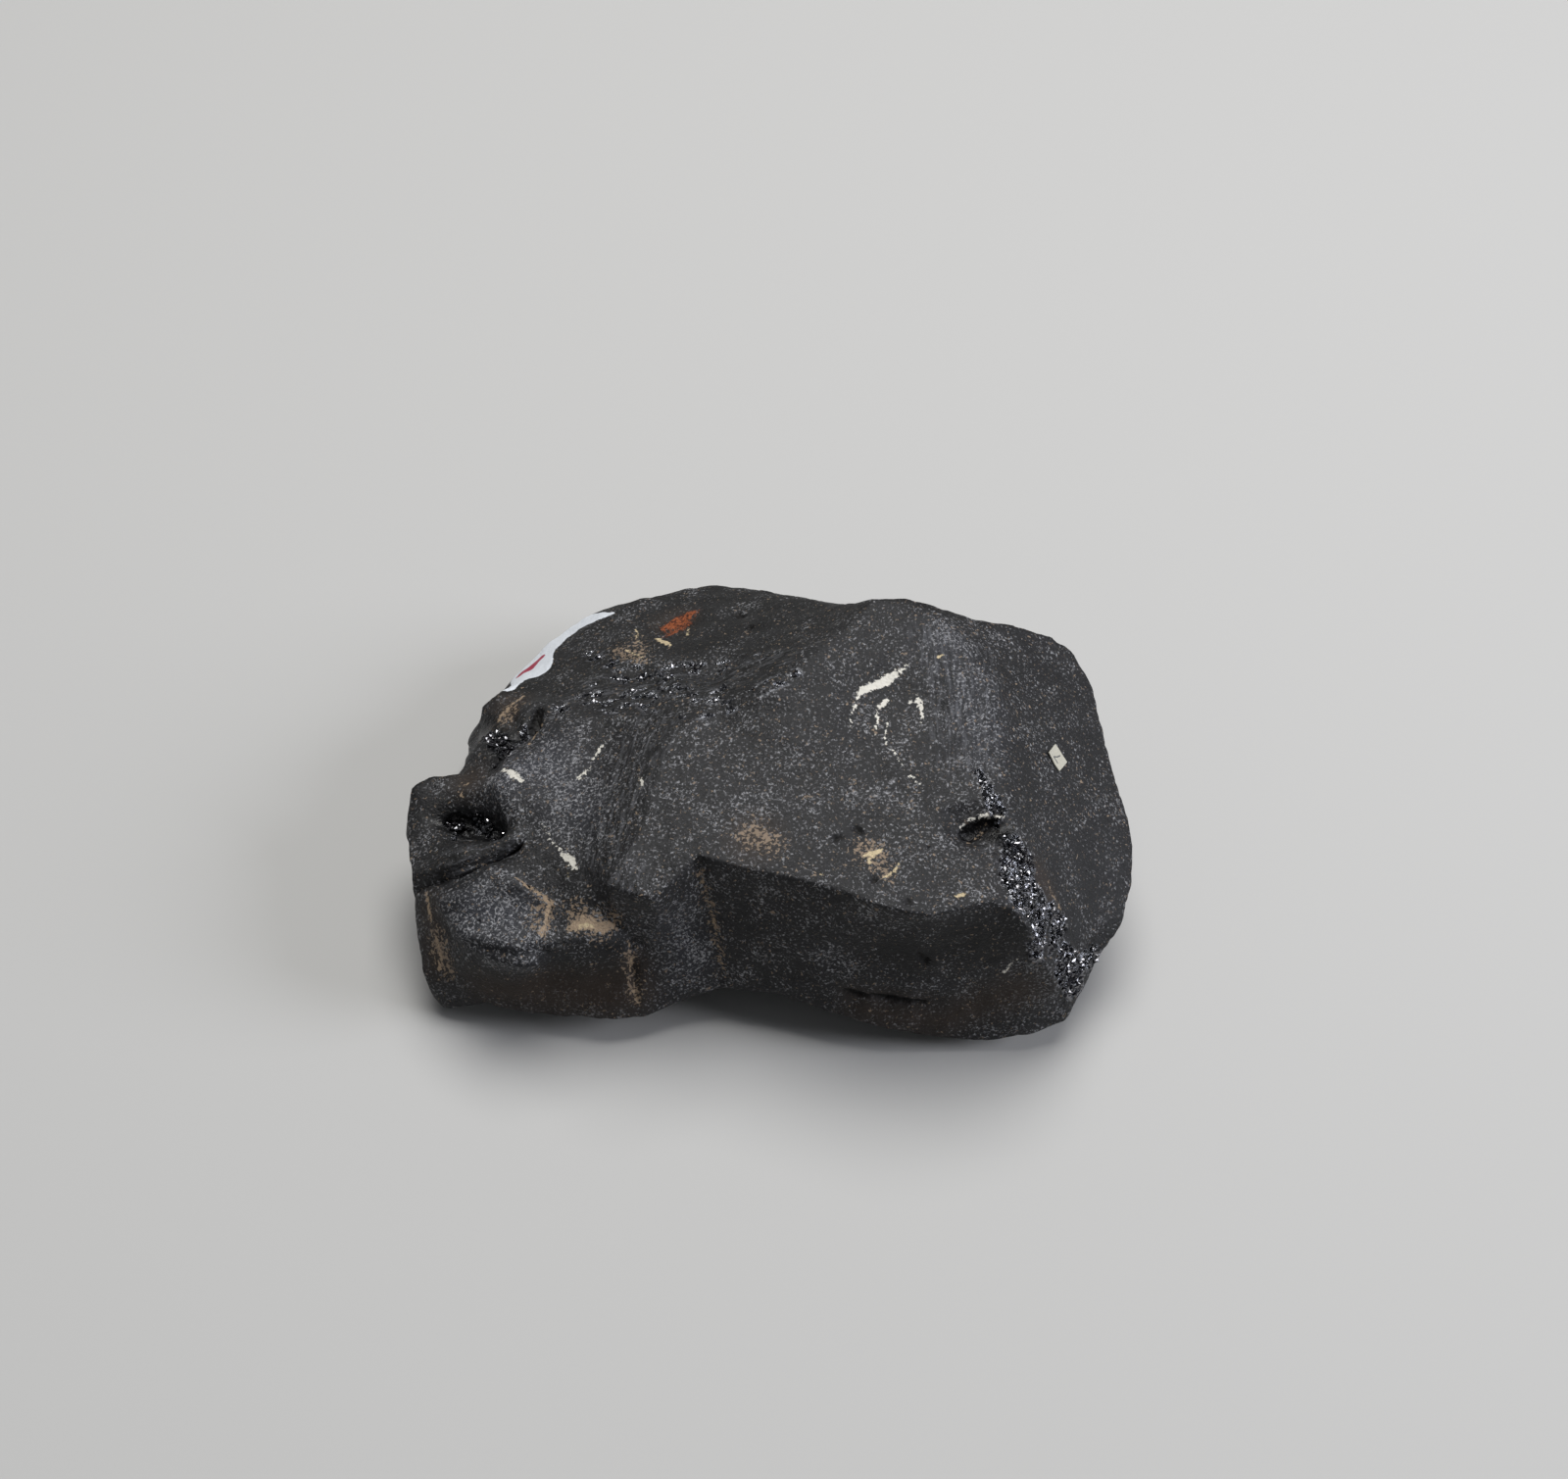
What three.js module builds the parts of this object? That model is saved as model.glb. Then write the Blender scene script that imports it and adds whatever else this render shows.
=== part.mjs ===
// A worn, twinned crystal of black rutile, about 79 x 58 x 29 mm, with a small paper label glued to it.
// Lengths are in millimetres. +X runs along the crystal, +Y to its back and +Z up from the face it rests on.
// The crystal's corners are measured in a working frame, and the finished group is centred over its base.
import * as THREE from "three";

// Driving dimensions
const EDGE_ABOVE = 2.1; // longest mesh edge on the faces that show
const EDGE_BELOW = 3.4; // longest mesh edge on the underside
const SETTLE_PASSES = 3; // how often each face is evened between two rounds of halving
const RELAX_PASSES = 30; // how far each finished face is pulled into one even sheet
const RELAX_SHARE = 0.5; // share of the way to its neighbours' mean that a point of a face moves in one pass
const TURN_ANGLE = Math.PI + 0.02; // where two facing angles together pass this, the edge between them turns
const STEEP = 0.3; // a face whose normal lies this close to X is laid out from Y
const WEAR_PASSES = 2; // how far the ridges are rounded by wear
const WEAR_SHARE = 0.3; // share of the way to its neighbours' mean that a point wears in one pass
const SWELLS = [{ grain: 9, height: 0.35 }, { grain: 3.6, height: 0.16 }]; // unevenness of every face
const GROWTH = 0.25; // outward growth that makes up for what wear takes off the outline
const SOLE_CLEAR = 1.2; // height below which no unevenness is added, so the resting spot stays flat
const SOLE_FADE = 3; // height over which the unevenness then comes in
const LABEL = { side: 2.4, thick: 0.25, lift: 0.35, x: 29, y: -15.5, turn: 0.9 };
const WELL_ABOVE = 100; // height from which the label is laid down on its face

// Corners where ridges meet or bend, as [across, back, up]
const CORNERS = {
  // front edge of the broad top face, from the left, with its notch
  shelf1: [-19, -34.5, 21.5], shelf2: [-14.5, -36, 21.5], notch: [-10, -32, 23.5],
  brow1: [-5, -33.5, 23.5], brow2: [0, -35, 24], brow3: [4.5, -36.5, 24], brow4: [9, -38.5, 24],
  brow5: [13.5, -39, 23.5], brow6: [17, -38, 23.5], brow7: [20, -37, 23.5], brow8: [22, -37.5, 22.5],
  brow9: [24, -38.5, 20.5],
  // right edge of the top face, going back
  crest1: [23.5, -34.5, 22.5], crest2: [23, -29.5, 24], crest3: [22.5, -23, 25], crest4: [22, -17.5, 26],
  crest5: [21.5, -11.5, 27], crest6: [19, -6, 28], crest7: [15, -2.5, 28.7],
  // back ridge, from its peak down to the left
  peak1: [12.5, -0.2, 28.8], peak2: [9, -0.5, 29], ridge1: [6, -4.5, 28.5], ridge2: [2.5, -8.5, 28],
  ridge3: [-2, -12, 27], ridge4: [-6.5, -13, 26], ridge5: [-10, -15, 25], ridge6: [-12.5, -16.5, 24.5],
  // left bank of the top face, then the valley between the two crystals
  bank1: [-14.5, -22, 24], bank2: [-15.5, -26.5, 23], bank3: [-17, -31, 22.5],
  valley1: [-15, -14, 23], valley2: [-17.5, -12, 21.5], valley3: [-19.5, -14, 20.5],
  valley4: [-21, -17, 20], valley5: [-22, -21, 19.5], valley6: [-22.5, -25.5, 18.5],
  valley7: [-22.5, -29.5, 18], valley8: [-21.5, -32.5, 17], valley9: [-19.5, -33.5, 15.5],
  valley10: [-17.5, -34.5, 14], valley11: [-15.5, -35, 12], hollow: [-14, -36, 15.5],
  crack1: [-16.5, -36, 9.5], crack2: [-16, -37.5, 7], notch_foot: [-7, -36, 6],
  // saddle of the left crystal and its step
  saddle1: [-28, -11.5, 18.5], saddle2: [-22, -11.5, 20.5], saddle3: [-29, -14, 18],
  saddle4: [-30.5, -16, 17.5], saddle5: [-32, -19, 17.5], saddle6: [-31, -22.5, 17.5],
  saddle7: [-28.5, -27.5, 16.5], heel: [-32.5, -15, 15.5], shoulder: [-28, -6, 16.5],
  step1: [-31.5, -29, 16], step2: [-29.5, -29.5, 16], step3: [-27, -30.5, 16], step4: [-25, -32.5, 15.5],
  step5: [-25, -34, 15], step6: [-26, -36.5, 14], step7: [-26.5, -39, 13.5], step8: [-30, -38.5, 13.5],
  step9: [-33.5, -36.5, 13], step10: [-34.5, -33.5, 13.5], step11: [-34, -31.5, 15],
  lip1: [-24.5, -37, 14], lip2: [-21.5, -36.5, 13.5], lip3: [-17, -36.5, 12.5],
  // groove across the left end, and the lip that overhangs it
  groove1: [-37.5, -27.5, 12], groove2: [-35.5, -27.5, 13], groove3: [-32, -27, 14],
  groove4: [-29, -25.5, 15], groove5: [-28, -25, 16.5],
  over1: [-40.4, -27, 12.5], over2: [-37.5, -27.5, 14], over3: [-34.5, -27, 15], over4: [-31.5, -26, 16],
  over5: [-29.5, -25, 17], edge1: [-38.5, -29, 12], edge2: [-36.5, -31.5, 13.5],
  // outline of the left end
  tip: [-37.3, -36.8, 1.6], left1: [-38.4, -36, 2.7], left2: [-38.9, -35.5, 5], left3: [-39.9, -31, 8],
  left4: [-40.4, -28, 10.5], left5: [-41.9, -20, 11], left6: [-41.9, -18, 12.2], left7: [-41.4, -16, 13.3],
  left8: [-39.7, -14.7, 13.7], left9: [-37.5, -14.7, 14], left10: [-35.5, -14.3, 13.8],
  knob1: [-36, -7.8, 10], knob2: [-36.4, -5.3, 9], knob3: [-35.1, -4.9, 11],
  // back rim, from the left, and the edge below it that carries the white paint
  rim1: [-34.5, -3.5, 12.5], rim2: [-32.5, -1.5, 13], rim3: [-29, 1, 12.5], rim4: [-25.5, 6.5, 12.5],
  rim5: [-21.5, 10.5, 13], rim6: [-17.5, 13, 13.5], rim7: [-12, 14.5, 14], rim8: [-8, 15, 14.5],
  rim9: [-3.5, 12, 16.5], rim10: [0.5, 8, 19.5], rim11: [5, 3, 24],
  back1: [-34.2, 0.1, 9.3], back2: [-32.2, 2.6, 9.5], back3: [-30.2, 5.7, 9.5], back4: [-27.8, 8.7, 10],
  back5: [-25.5, 11, 10], back6: [-23, 13, 10.5], back7: [-21, 13.5, 11],
  // back and right outline
  rise1: [21, -0.8, 25.6], rise2: [24.5, 0.3, 24.5], rise3: [29.7, 1.3, 21.7], end1: [32.4, 0.8, 19.4],
  end2: [34.8, -2.3, 17], end3: [35.8, -8.5, 15.5], end4: [36.7, -14, 14], end5: [37.5, -19, 13],
  end6: [37.8, -22.5, 12], end7: [37.3, -26, 11], end8: [36, -30, 10], end9: [33.5, -33.5, 8],
  end10: [32, -36, 6.5], end11: [29.8, -38.8, 4.2],
  // foot of the front, from the right
  foot1: [26.2, -39.8, 3], foot2: [21, -40.4, 2], foot3: [15.5, -40.4, 3], foot4: [10, -40.3, 4.7],
  foot5: [4.5, -39.2, 5.7], foot6: [-0.5, -37.5, 6.5], foot7: [-12, -37.5, 4.5], foot8: [-15.5, -38.7, 3.8],
  foot9: [-19.5, -39.2, 4.3], foot10: [-24.5, -38.7, 3.8], foot11: [-29, -38.2, 3.8],
  foot12: [-32.5, -37.2, 3.8],
  foot13: [-34, -37.3, 3.2],
  // lower line of the front wall, and the broken flank at its right
  wall1: [24.5, -38.5, 15], wall2: [23.5, -38.5, 11], wall3: [20, -38.5, 9], wall4: [14, -39.5, 8],
  wall5: [6.5, -39, 9], flank1: [25, -31, 21.5], flank2: [26.5, -33.5, 18.5], flank3: [28.5, -36, 14.5],
  flank4: [31, -36, 8.5], flank5: [28, -38.5, 10],
  under1: [-35.5, -36.5, 6], under2: [-32, -37.5, 7], under3: [-28.5, -38, 8], under4: [-25.5, -37, 9.5],
  under5: [-21.5, -37, 9], under6: [-17.5, -36.5, 9],
  // hidden back wall at its widest
  wide1: [-37.5, -3, 5], wide2: [-34.5, 4, 5], wide3: [-29.5, 11, 5], wide4: [-22, 16, 5.5],
  wide5: [-13, 18, 6], wide6: [-4, 17.5, 7], wide7: [4, 15.5, 9], wide8: [12, 13.5, 11],
  wide9: [21, 11.5, 11], wide10: [29, 7.5, 10], wide11: [35, 0.5, 9.5],
  // keel ring, where the underside turns towards the flat spot
  keel1: [-34, -32, 1.5], keel2: [-24, -34, 2], keel3: [-14, -33, 2.5], keel4: [-6, -31, 3],
  keel5: [4, -34, 2.5], keel6: [16, -36.5, 1.2], keel7: [26, -33, 2], keel8: [31.5, -24, 4],
  keel9: [31, -12, 4.5], keel10: [26, -2, 4], keel11: [16, 6, 3.5], keel12: [4, 10, 3],
  keel13: [-8, 12, 2.5], keel14: [-20, 9, 2], keel15: [-29, 2, 2],
  keel16: [-33, -7, 3], keel17: [-36.5, -17, 5], keel18: [-36.5, -26, 4],
  // flat spot that the crystal rests on
  sole1: [-14, -25, 0], sole2: [0, -28, 0], sole3: [13, -27, 0], sole4: [18, -18, 0], sole5: [12, -7, 0],
  sole6: [-3, -2, 0], sole7: [-15, -6, 0], sole8: [-20, -16, 0],
};

// A run of corners with one stem, such as run("keel", 1, 4) for keel1 to keel4.
const run = (stem, first, last) => {
  const step = first < last ? 1 : -1;
  return Array.from({ length: Math.abs(last - first) + 1 }, (_, i) => stem + (first + i * step));
};

// Faces, each a loop of corners, counter-clockwise as seen from outside
const FACES = [
  ["shelf1", "shelf2", "notch", ...run("brow", 1, 8), ...run("crest", 1, 7), "peak1", "peak2",
    ...run("ridge", 1, 6), ...run("bank", 1, 3)],
  ["ridge6", ...run("valley", 1, 11), "shelf1", ...run("bank", 3, 1)],
  ["shelf1", "valley11", "hollow", "shelf2"],
  ["shelf2", "hollow", "valley11", "crack1", "crack2", "foot8", "foot7", "notch_foot", "notch"],
  ["notch", "notch_foot", "foot6", "wall5", "wall4", "wall3", "wall2", "wall1", ...run("brow", 9, 1)],
  ["foot6", ...run("foot", 5, 2), "wall3", "wall4", "wall5"],
  ["brow9", "wall1", "wall2", "wall3", "foot2", "foot1", "end11", "end10", "flank5"],
  ["crest2", "crest1", "brow8", "brow9", "flank5", "end10", ...run("flank", 4, 1)],
  [...run("crest", 7, 2), ...run("flank", 1, 4), ...run("end", 10, 1), ...run("rise", 3, 1), "peak1"],
  ["saddle7", ...run("step", 2, 4), ...run("valley", 8, 2), "saddle2", "saddle1", ...run("saddle", 3, 6),
    "groove5"],
  [...run("step", 4, 6), ...run("lip", 1, 3), ...run("valley", 11, 8)],
  ["lip1", ...run("under", 4, 6), "crack1", "valley11", "lip3", "lip2"],
  [...run("step", 11, 1)],
  ["step9", ...run("under", 1, 4), "lip1", ...run("step", 6, 8)],
  ["under1", "tip", ...run("foot", 13, 8), "crack2", "crack1", ...run("under", 6, 2)],
  [...run("left", 4, 1), "tip", "under1", ...run("step", 9, 11), "edge2", "edge1"],
  ["left4", "edge1", "edge2", "step11", "step1", "step2", "saddle7", ...run("groove", 5, 1)],
  ["over1", "left4", ...run("groove", 1, 5), ...run("over", 5, 2)],
  [...run("over", 1, 5), "groove5", "saddle6", "saddle5", "heel", ...run("left", 10, 5)],
  ["heel", ...run("saddle", 5, 3), "saddle1", "shoulder", ...run("rim", 3, 1), ...run("knob", 3, 1),
    "left10"],
  ["saddle1", "saddle2", "valley2", "valley1", ...run("ridge", 6, 1), "peak2", ...run("rim", 11, 3),
    "shoulder"],
  [...run("rim", 1, 6), ...run("back", 7, 1)],
];

// Lines of corners that close the hidden sides, each running clockwise as seen from above
const BACK_LINE = ["knob2", "knob3", "rim1", ...run("back", 1, 7), ...run("rim", 6, 11), "peak2", "peak1",
  ...run("rise", 1, 3), "end1", "end2"];
const WIDE_LINE = run("wide", 1, 11);
const FOOT_LINE = [...WIDE_LINE, ...run("end", 2, 11), ...run("foot", 1, 6), "notch_foot",
  ...run("foot", 7, 13), "tip", ...run("left", 1, 4), "over1", ...run("left", 5, 10), "knob1", "knob2",
  "wide1"];
const KEEL_LINE = [...run("keel", 16, 1), "keel18", "keel17", "keel16"];
const SOLE_LINE = [...run("sole", 8, 1), "sole8"];

// Broken places, lumps and pits: the surface within reach of a point moves out by push, or in by a minus
const LUMPS = [
  // glossy pit in the left end's cap, and the swollen bar between the pit and the groove
  { at: [-35, -21.5, 15.5], reach: 4.6, push: -3.2 },
  { at: [-32, -23, 16.5], reach: 3.4, push: -2.2 },
  { at: [-38, -19.5, 13.5], reach: 3, push: -1 },
  { at: [-35.5, -26, 15], reach: 3, push: 0.7 },
  // broken knob at the back of the left end: two lobes with a cleft, and a bitten edge
  { at: [-33.5, -10.5, 14], reach: 4.5, push: 1.3 },
  { at: [-29, -7.5, 16], reach: 4, push: 1.2 },
  { at: [-31, -7.5, 15], reach: 2.6, push: -1.6 },
  { at: [-33, -3.5, 13], reach: 3, push: 0.6 },
  { at: [-28.5, -12, 18.5], reach: 3.2, push: -0.7 },
  // chipped pit at the right of the top face, with a raised lip on its far side
  { at: [18, -28.5, 24.5], reach: 3.4, push: -2 },
  { at: [20.5, -30, 24], reach: 2.8, push: -1.2 },
  { at: [19, -25.5, 25], reach: 2.4, push: 0.4 },
  // shell-shaped chips down the broken flank
  { at: [23.5, -33, 23], reach: 3, push: -0.9 },
  { at: [25, -36, 19], reach: 3.2, push: -0.9 },
  { at: [28, -35.5, 15], reach: 3, push: -0.9 },
  { at: [29, -37, 11.5], reach: 2.6, push: -0.8 },
  { at: [32.5, -34, 9], reach: 2.6, push: -0.8 },
  { at: [26.5, -33, 18.5], reach: 2.4, push: 0.5 },
  // slit low in the front wall
  { at: [6.5, -39, 8.5], reach: 2.6, push: -0.7 },
  { at: [10.5, -39.5, 8.5], reach: 2.8, push: -0.9 },
  { at: [14.5, -39.5, 8], reach: 2.6, push: -0.7 },
  // swelling under the dusty bump, and the scoop beside the notch
  { at: [-21.5, -34.5, 15], reach: 3.6, push: 0.8 },
  { at: [-15, -36, 16.5], reach: 4.5, push: -1 },
  { at: [-11, -34.5, 15], reach: 4, push: -0.5 },
  // hollow with stained edges near the back of the top face
  { at: [10.5, -14, 26.5], reach: 7, push: -0.7 },
  { at: [7, -29, 24.5], reach: 5, push: -0.3 },
  { at: [-9, -23, 24], reach: 7, push: 0.4 },
  // chips along the worn back ridge
  { at: [-7.5, -14.5, 25.5], reach: 3, push: -0.7 },
  { at: [-2.5, -12.5, 26.5], reach: 3, push: 0.5 },
  { at: [-8.5, -7, 23], reach: 3.6, push: -0.8 },
  { at: [-12.5, -7.5, 21.5], reach: 3, push: 0.6 },
  { at: [-17, -4, 19], reach: 3.4, push: -0.7 },
  { at: [-21.5, -4, 17.5], reach: 3, push: 0.5 },
  // lumps and hollows of the back slope, where the rust sits
  { at: [-13, 5.5, 17], reach: 5, push: -0.9 },
  { at: [-18.5, 4.5, 15.5], reach: 4.5, push: 0.6 },
  { at: [-5.5, 5.5, 19.5], reach: 2.6, push: -0.8 },
  { at: [-4.5, 1.5, 21], reach: 2.6, push: -0.5 },
  // hidden back wall and underside
  { at: [-20, 17, 4], reach: 9, push: -1.4 },
  { at: [14, 9, 12], reach: 9, push: 1.2 },
  { at: [28, 3, 8], reach: 8, push: -1.2 },
  { at: [-30, -18, 3], reach: 8, push: 1 },
  { at: [-12, -34, 3], reach: 6, push: -0.8 },
];

// Mesh under construction: its points, and triangles as [a, b, c, face number, longest edge allowed]
const names = Object.keys(CORNERS);
const points = names.map((name) => new THREE.Vector3(...CORNERS[name]));
const triangles = [];
let faceCount = 0;

// Fills one loop of corners with triangles, cut in the plane that fits the loop best.
const addFace = (loop, edge) => {
  const ids = loop.map((name) => names.indexOf(name));
  const normal = new THREE.Vector3();
  ids.forEach((id, i) => {
    const a = points[id];
    const b = points[ids[(i + 1) % ids.length]];
    normal.x += (a.y - b.y) * (a.z + b.z);
    normal.y += (a.z - b.z) * (a.x + b.x);
    normal.z += (a.x - b.x) * (a.y + b.y);
  });
  normal.normalize();
  const across = new THREE.Vector3(1, 0, 0).cross(normal);
  if (across.length() < STEEP) {
    across.set(0, 1, 0).cross(normal);
  }
  across.normalize();
  const up = normal.clone().cross(across);
  const flat = ids.map((id) => new THREE.Vector2(points[id].dot(across), points[id].dot(up)));
  THREE.ShapeUtils.triangulateShape(flat, []).forEach(([a, b, c]) => {
    triangles.push([ids[a], ids[b], ids[c], faceCount, edge]);
  });
  faceCount += 1;
};

// Joins two lines of corners that run side by side, always taking the shorter next rung.
const addStrip = (above, below, edge) => {
  const a = above.map((name) => names.indexOf(name));
  const b = below.map((name) => names.indexOf(name));
  let i = 0;
  let j = 0;
  while (i < a.length - 1 || j < b.length - 1) {
    const canStepAbove = i < a.length - 1;
    const canStepBelow = j < b.length - 1;
    const rungAbove = canStepAbove ? points[a[i + 1]].distanceTo(points[b[j]]) : Infinity;
    const rungBelow = canStepBelow ? points[a[i]].distanceTo(points[b[j + 1]]) : Infinity;
    if (rungAbove <= rungBelow) {
      triangles.push([a[i], a[i + 1], b[j], faceCount, edge]);
      i += 1;
    } else {
      triangles.push([a[i], b[j + 1], b[j], faceCount, edge]);
      j += 1;
    }
  }
  faceCount += 1;
};

// Finds the triangles on both sides of every edge.
const edgeTable = () => {
  const table = new Map();
  triangles.forEach((triangle, index) => {
    [0, 1, 2].forEach((k) => {
      const a = triangle[k];
      const b = triangle[(k + 1) % 3];
      const key = a < b ? `${a}_${b}` : `${b}_${a}`;
      if (!table.has(key)) {
        table.set(key, []);
      }
      table.get(key).push(index);
    });
  });
  return table;
};

// The three points of a triangle, turned so that the first two are the ends of one edge
const startingAt = ([p, q, r], one, other) => {
  const turns = [[p, q, r], [q, r, p], [r, p, q]];
  return turns.find(([s, t]) => (s === one && t === other) || (s === other && t === one));
};

// Puts a point in the middle of an edge and halves the triangles on its sides.
const halveEdge = (a, b, sides, touched) => {
  const middle = points.length;
  points.push(points[a].clone().lerp(points[b], 0.5));
  sides.forEach((index) => {
    const [start, end, tip] = startingAt(triangles[index], a, b);
    const [, , , face, edge] = triangles[index];
    touched.add(index);
    touched.add(triangles.length);
    triangles[index] = [start, middle, tip, face, edge];
    triangles.push([middle, end, tip, face, edge]);
  });
};

// Where two faces cut the same short cut between two corners, each gets a point of its own on it.
// Returns how many such cuts it parted.
const partCuts = () => {
  const touched = new Set();
  let parted = 0;
  edgeTable().forEach((sides, key) => {
    const [a, b] = key.split("_").map(Number);
    const faces = new Set(sides.map((index) => triangles[index][3]));
    faces.forEach((face) => {
      const own = sides.filter((index) => triangles[index][3] === face);
      if (sides.length > 2 && own.length === 2 && !own.some((index) => touched.has(index))) {
        halveEdge(a, b, own, touched);
        parted += 1;
      }
    });
  });
  return parted;
};

// Halves every edge that is too long, the longest first. Returns how many it halved.
const halveEdges = () => {
  const long = [];
  edgeTable().forEach((sides, key) => {
    const [a, b] = key.split("_").map(Number);
    const length = points[a].distanceTo(points[b]);
    const allowed = Math.min(...sides.map((index) => triangles[index][4]));
    if (length > allowed) {
      long.push({ a, b, sides, length });
    }
  });
  long.sort((p, q) => q.length - p.length);
  const touched = new Set();
  let halved = 0;
  long.forEach(({ a, b, sides }) => {
    if (sides.some((index) => touched.has(index))) {
      return;
    }
    halveEdge(a, b, sides, touched);
    halved += 1;
  });
  return halved;
};

const angleAt = (tip, a, b) => {
  const toA = points[a].clone().sub(points[tip]);
  const toB = points[b].clone().sub(points[tip]);
  return toA.angleTo(toB);
};

const normalOf = (a, b, c) => {
  const side = points[b].clone().sub(points[a]);
  return side.cross(points[c].clone().sub(points[a]));
};

// Turns edges inside one face wherever that gives rounder triangles.
const turnEdges = () => {
  const table = edgeTable();
  const touched = new Set();
  table.forEach((sides, key) => {
    const [one, two] = sides;
    if (triangles[one][3] !== triangles[two][3] || touched.has(one) || touched.has(two)) {
      return;
    }
    const [a, b, c] = startingAt(triangles[one], ...key.split("_").map(Number));
    const d = triangles[two].slice(0, 3).find((id) => id !== a && id !== b);
    const crossing = c < d ? `${c}_${d}` : `${d}_${c}`;
    if (table.has(crossing) || angleAt(c, a, b) + angleAt(d, a, b) < TURN_ANGLE) {
      return;
    }
    const before = normalOf(a, b, c).add(normalOf(b, a, d));
    const first = normalOf(a, d, c);
    const second = normalOf(d, b, c);
    if (first.dot(before) <= 0 || second.dot(before) <= 0) {
      return;
    }
    triangles[one] = [a, d, c, triangles[one][3], triangles[one][4]];
    triangles[two] = [d, b, c, triangles[two][3], triangles[two][4]];
    table.set(crossing, [one, two]);
    touched.add(one);
    touched.add(two);
  });
};

// Moves points part of the way to the mean of their neighbours; held points stay where they are.
const relax = (passes, share, held) => {
  const near = points.map(() => new Set());
  triangles.forEach(([a, b, c]) => {
    near[a].add(b).add(c);
    near[b].add(a).add(c);
    near[c].add(a).add(b);
  });
  for (let pass = 0; pass < passes; pass += 1) {
    const before = points.map((point) => point.clone());
    points.forEach((point, id) => {
      if (held(id) || near[id].size === 0) {
        return;
      }
      const mean = new THREE.Vector3();
      near[id].forEach((other) => mean.add(before[other]));
      mean.divideScalar(near[id].size);
      point.lerp(mean, share);
    });
  }
};

// Mean outward direction at every point
const pointNormals = () => {
  const normals = points.map(() => new THREE.Vector3());
  triangles.forEach(([a, b, c]) => {
    const normal = normalOf(a, b, c);
    normals[a].add(normal);
    normals[b].add(normal);
    normals[c].add(normal);
  });
  return normals.map((normal) => normal.normalize());
};

// Smooth random value from -1 to 1 that changes over about one unit of length
const lattice = (x, y, z) => {
  const value = Math.sin(x * 127.1 + y * 311.7 + z * 74.7) * 43758.5453;
  return 2 * (value - Math.floor(value)) - 1;
};
const ease = (t) => t * t * (3 - 2 * t);
const unevenness = (x, y, z) => {
  const [i, j, k] = [Math.floor(x), Math.floor(y), Math.floor(z)];
  const [u, v, w] = [ease(x - i), ease(y - j), ease(z - k)];
  const { lerp } = THREE.MathUtils;
  const alongX = (dj, dk) => lerp(lattice(i, j + dj, k + dk), lattice(i + 1, j + dj, k + dk), u);
  const alongY = (dk) => lerp(alongX(0, dk), alongX(1, dk), v);
  return lerp(alongY(0), alongY(1), w);
};

const growCrystal = () => {
  FACES.forEach((loop) => addFace(loop, EDGE_ABOVE));
  addStrip(BACK_LINE, WIDE_LINE, EDGE_BELOW);
  addStrip(FOOT_LINE, KEEL_LINE, EDGE_BELOW);
  addStrip(KEEL_LINE, SOLE_LINE, EDGE_BELOW);
  addFace(SOLE_LINE.slice(1), EDGE_BELOW);

  let parted = 1;
  while (parted > 0) {
    parted = partCuts();
  }

  // finer and rounder triangles, each face drawn into an even sheet between its ridges
  let halved = 1;
  while (halved > 0) {
    halved = halveEdges();
    turnEdges();
    const faceOf = new Map();
    const onRidge = new Set();
    triangles.forEach(([a, b, c, face]) => {
      [a, b, c].forEach((id) => {
        if (faceOf.has(id) && faceOf.get(id) !== face) {
          onRidge.add(id);
        }
        faceOf.set(id, face);
      });
    });
    relax(halved > 0 ? SETTLE_PASSES : RELAX_PASSES, RELAX_SHARE, (id) => onRidge.has(id));
    turnEdges();
  }

  // broken places and unevenness, then wear that rounds the ridges
  const grounded = points.map((point) => point.z <= 0);
  const normals = pointNormals();
  const moves = points.map((point) => {
    const lumps = LUMPS.reduce((sum, { at, reach, push }) => {
      const away = point.distanceTo(new THREE.Vector3(...at)) / reach;
      return away < 1 ? sum + push * ease(1 - away) : sum;
    }, 0);
    const swells = SWELLS.reduce((sum, { grain, height }) => (
      sum + height * unevenness(point.x / grain, point.y / grain, point.z / grain)), 0);
    const fade = THREE.MathUtils.clamp((point.z - SOLE_CLEAR) / SOLE_FADE, 0, 1);
    return GROWTH + (lumps + swells) * fade;
  });
  points.forEach((point, id) => {
    if (!grounded[id]) {
      point.addScaledVector(normals[id], moves[id]);
    }
  });
  relax(WEAR_PASSES, WEAR_SHARE, (id) => grounded[id]);
};

const crystalMesh = () => {
  growCrystal();
  const geometry = new THREE.BufferGeometry();
  const coordinates = points.flatMap((point) => point.toArray());
  geometry.setAttribute("position", new THREE.Float32BufferAttribute(coordinates, 3));
  geometry.setIndex(triangles.flatMap(([a, b, c]) => [a, b, c]));
  geometry.computeVertexNormals();
  const material = new THREE.MeshStandardMaterial({ color: 0x35353a, roughness: 0.55, metalness: 0.1 });
  const mesh = new THREE.Mesh(geometry, material);
  mesh.name = "rutile_crystal";
  return mesh;
};

// Square paper label, laid just above the right-hand face and turned with its slope
const labelMesh = (crystal) => {
  const above = new THREE.Vector3(LABEL.x, LABEL.y, WELL_ABOVE);
  const [hit] = new THREE.Raycaster(above, new THREE.Vector3(0, 0, -1)).intersectObject(crystal);
  const geometry = new THREE.BoxGeometry(LABEL.side, LABEL.side, LABEL.thick);
  const material = new THREE.MeshStandardMaterial({ color: 0xe4e0d0, roughness: 0.8 });
  const mesh = new THREE.Mesh(geometry, material);
  mesh.name = "paper_label";
  mesh.quaternion.setFromUnitVectors(new THREE.Vector3(0, 0, 1), hit.face.normal);
  mesh.rotateZ(LABEL.turn);
  mesh.position.copy(hit.point).addScaledVector(hit.face.normal, LABEL.lift + LABEL.thick / 2);
  return mesh;
};

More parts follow.
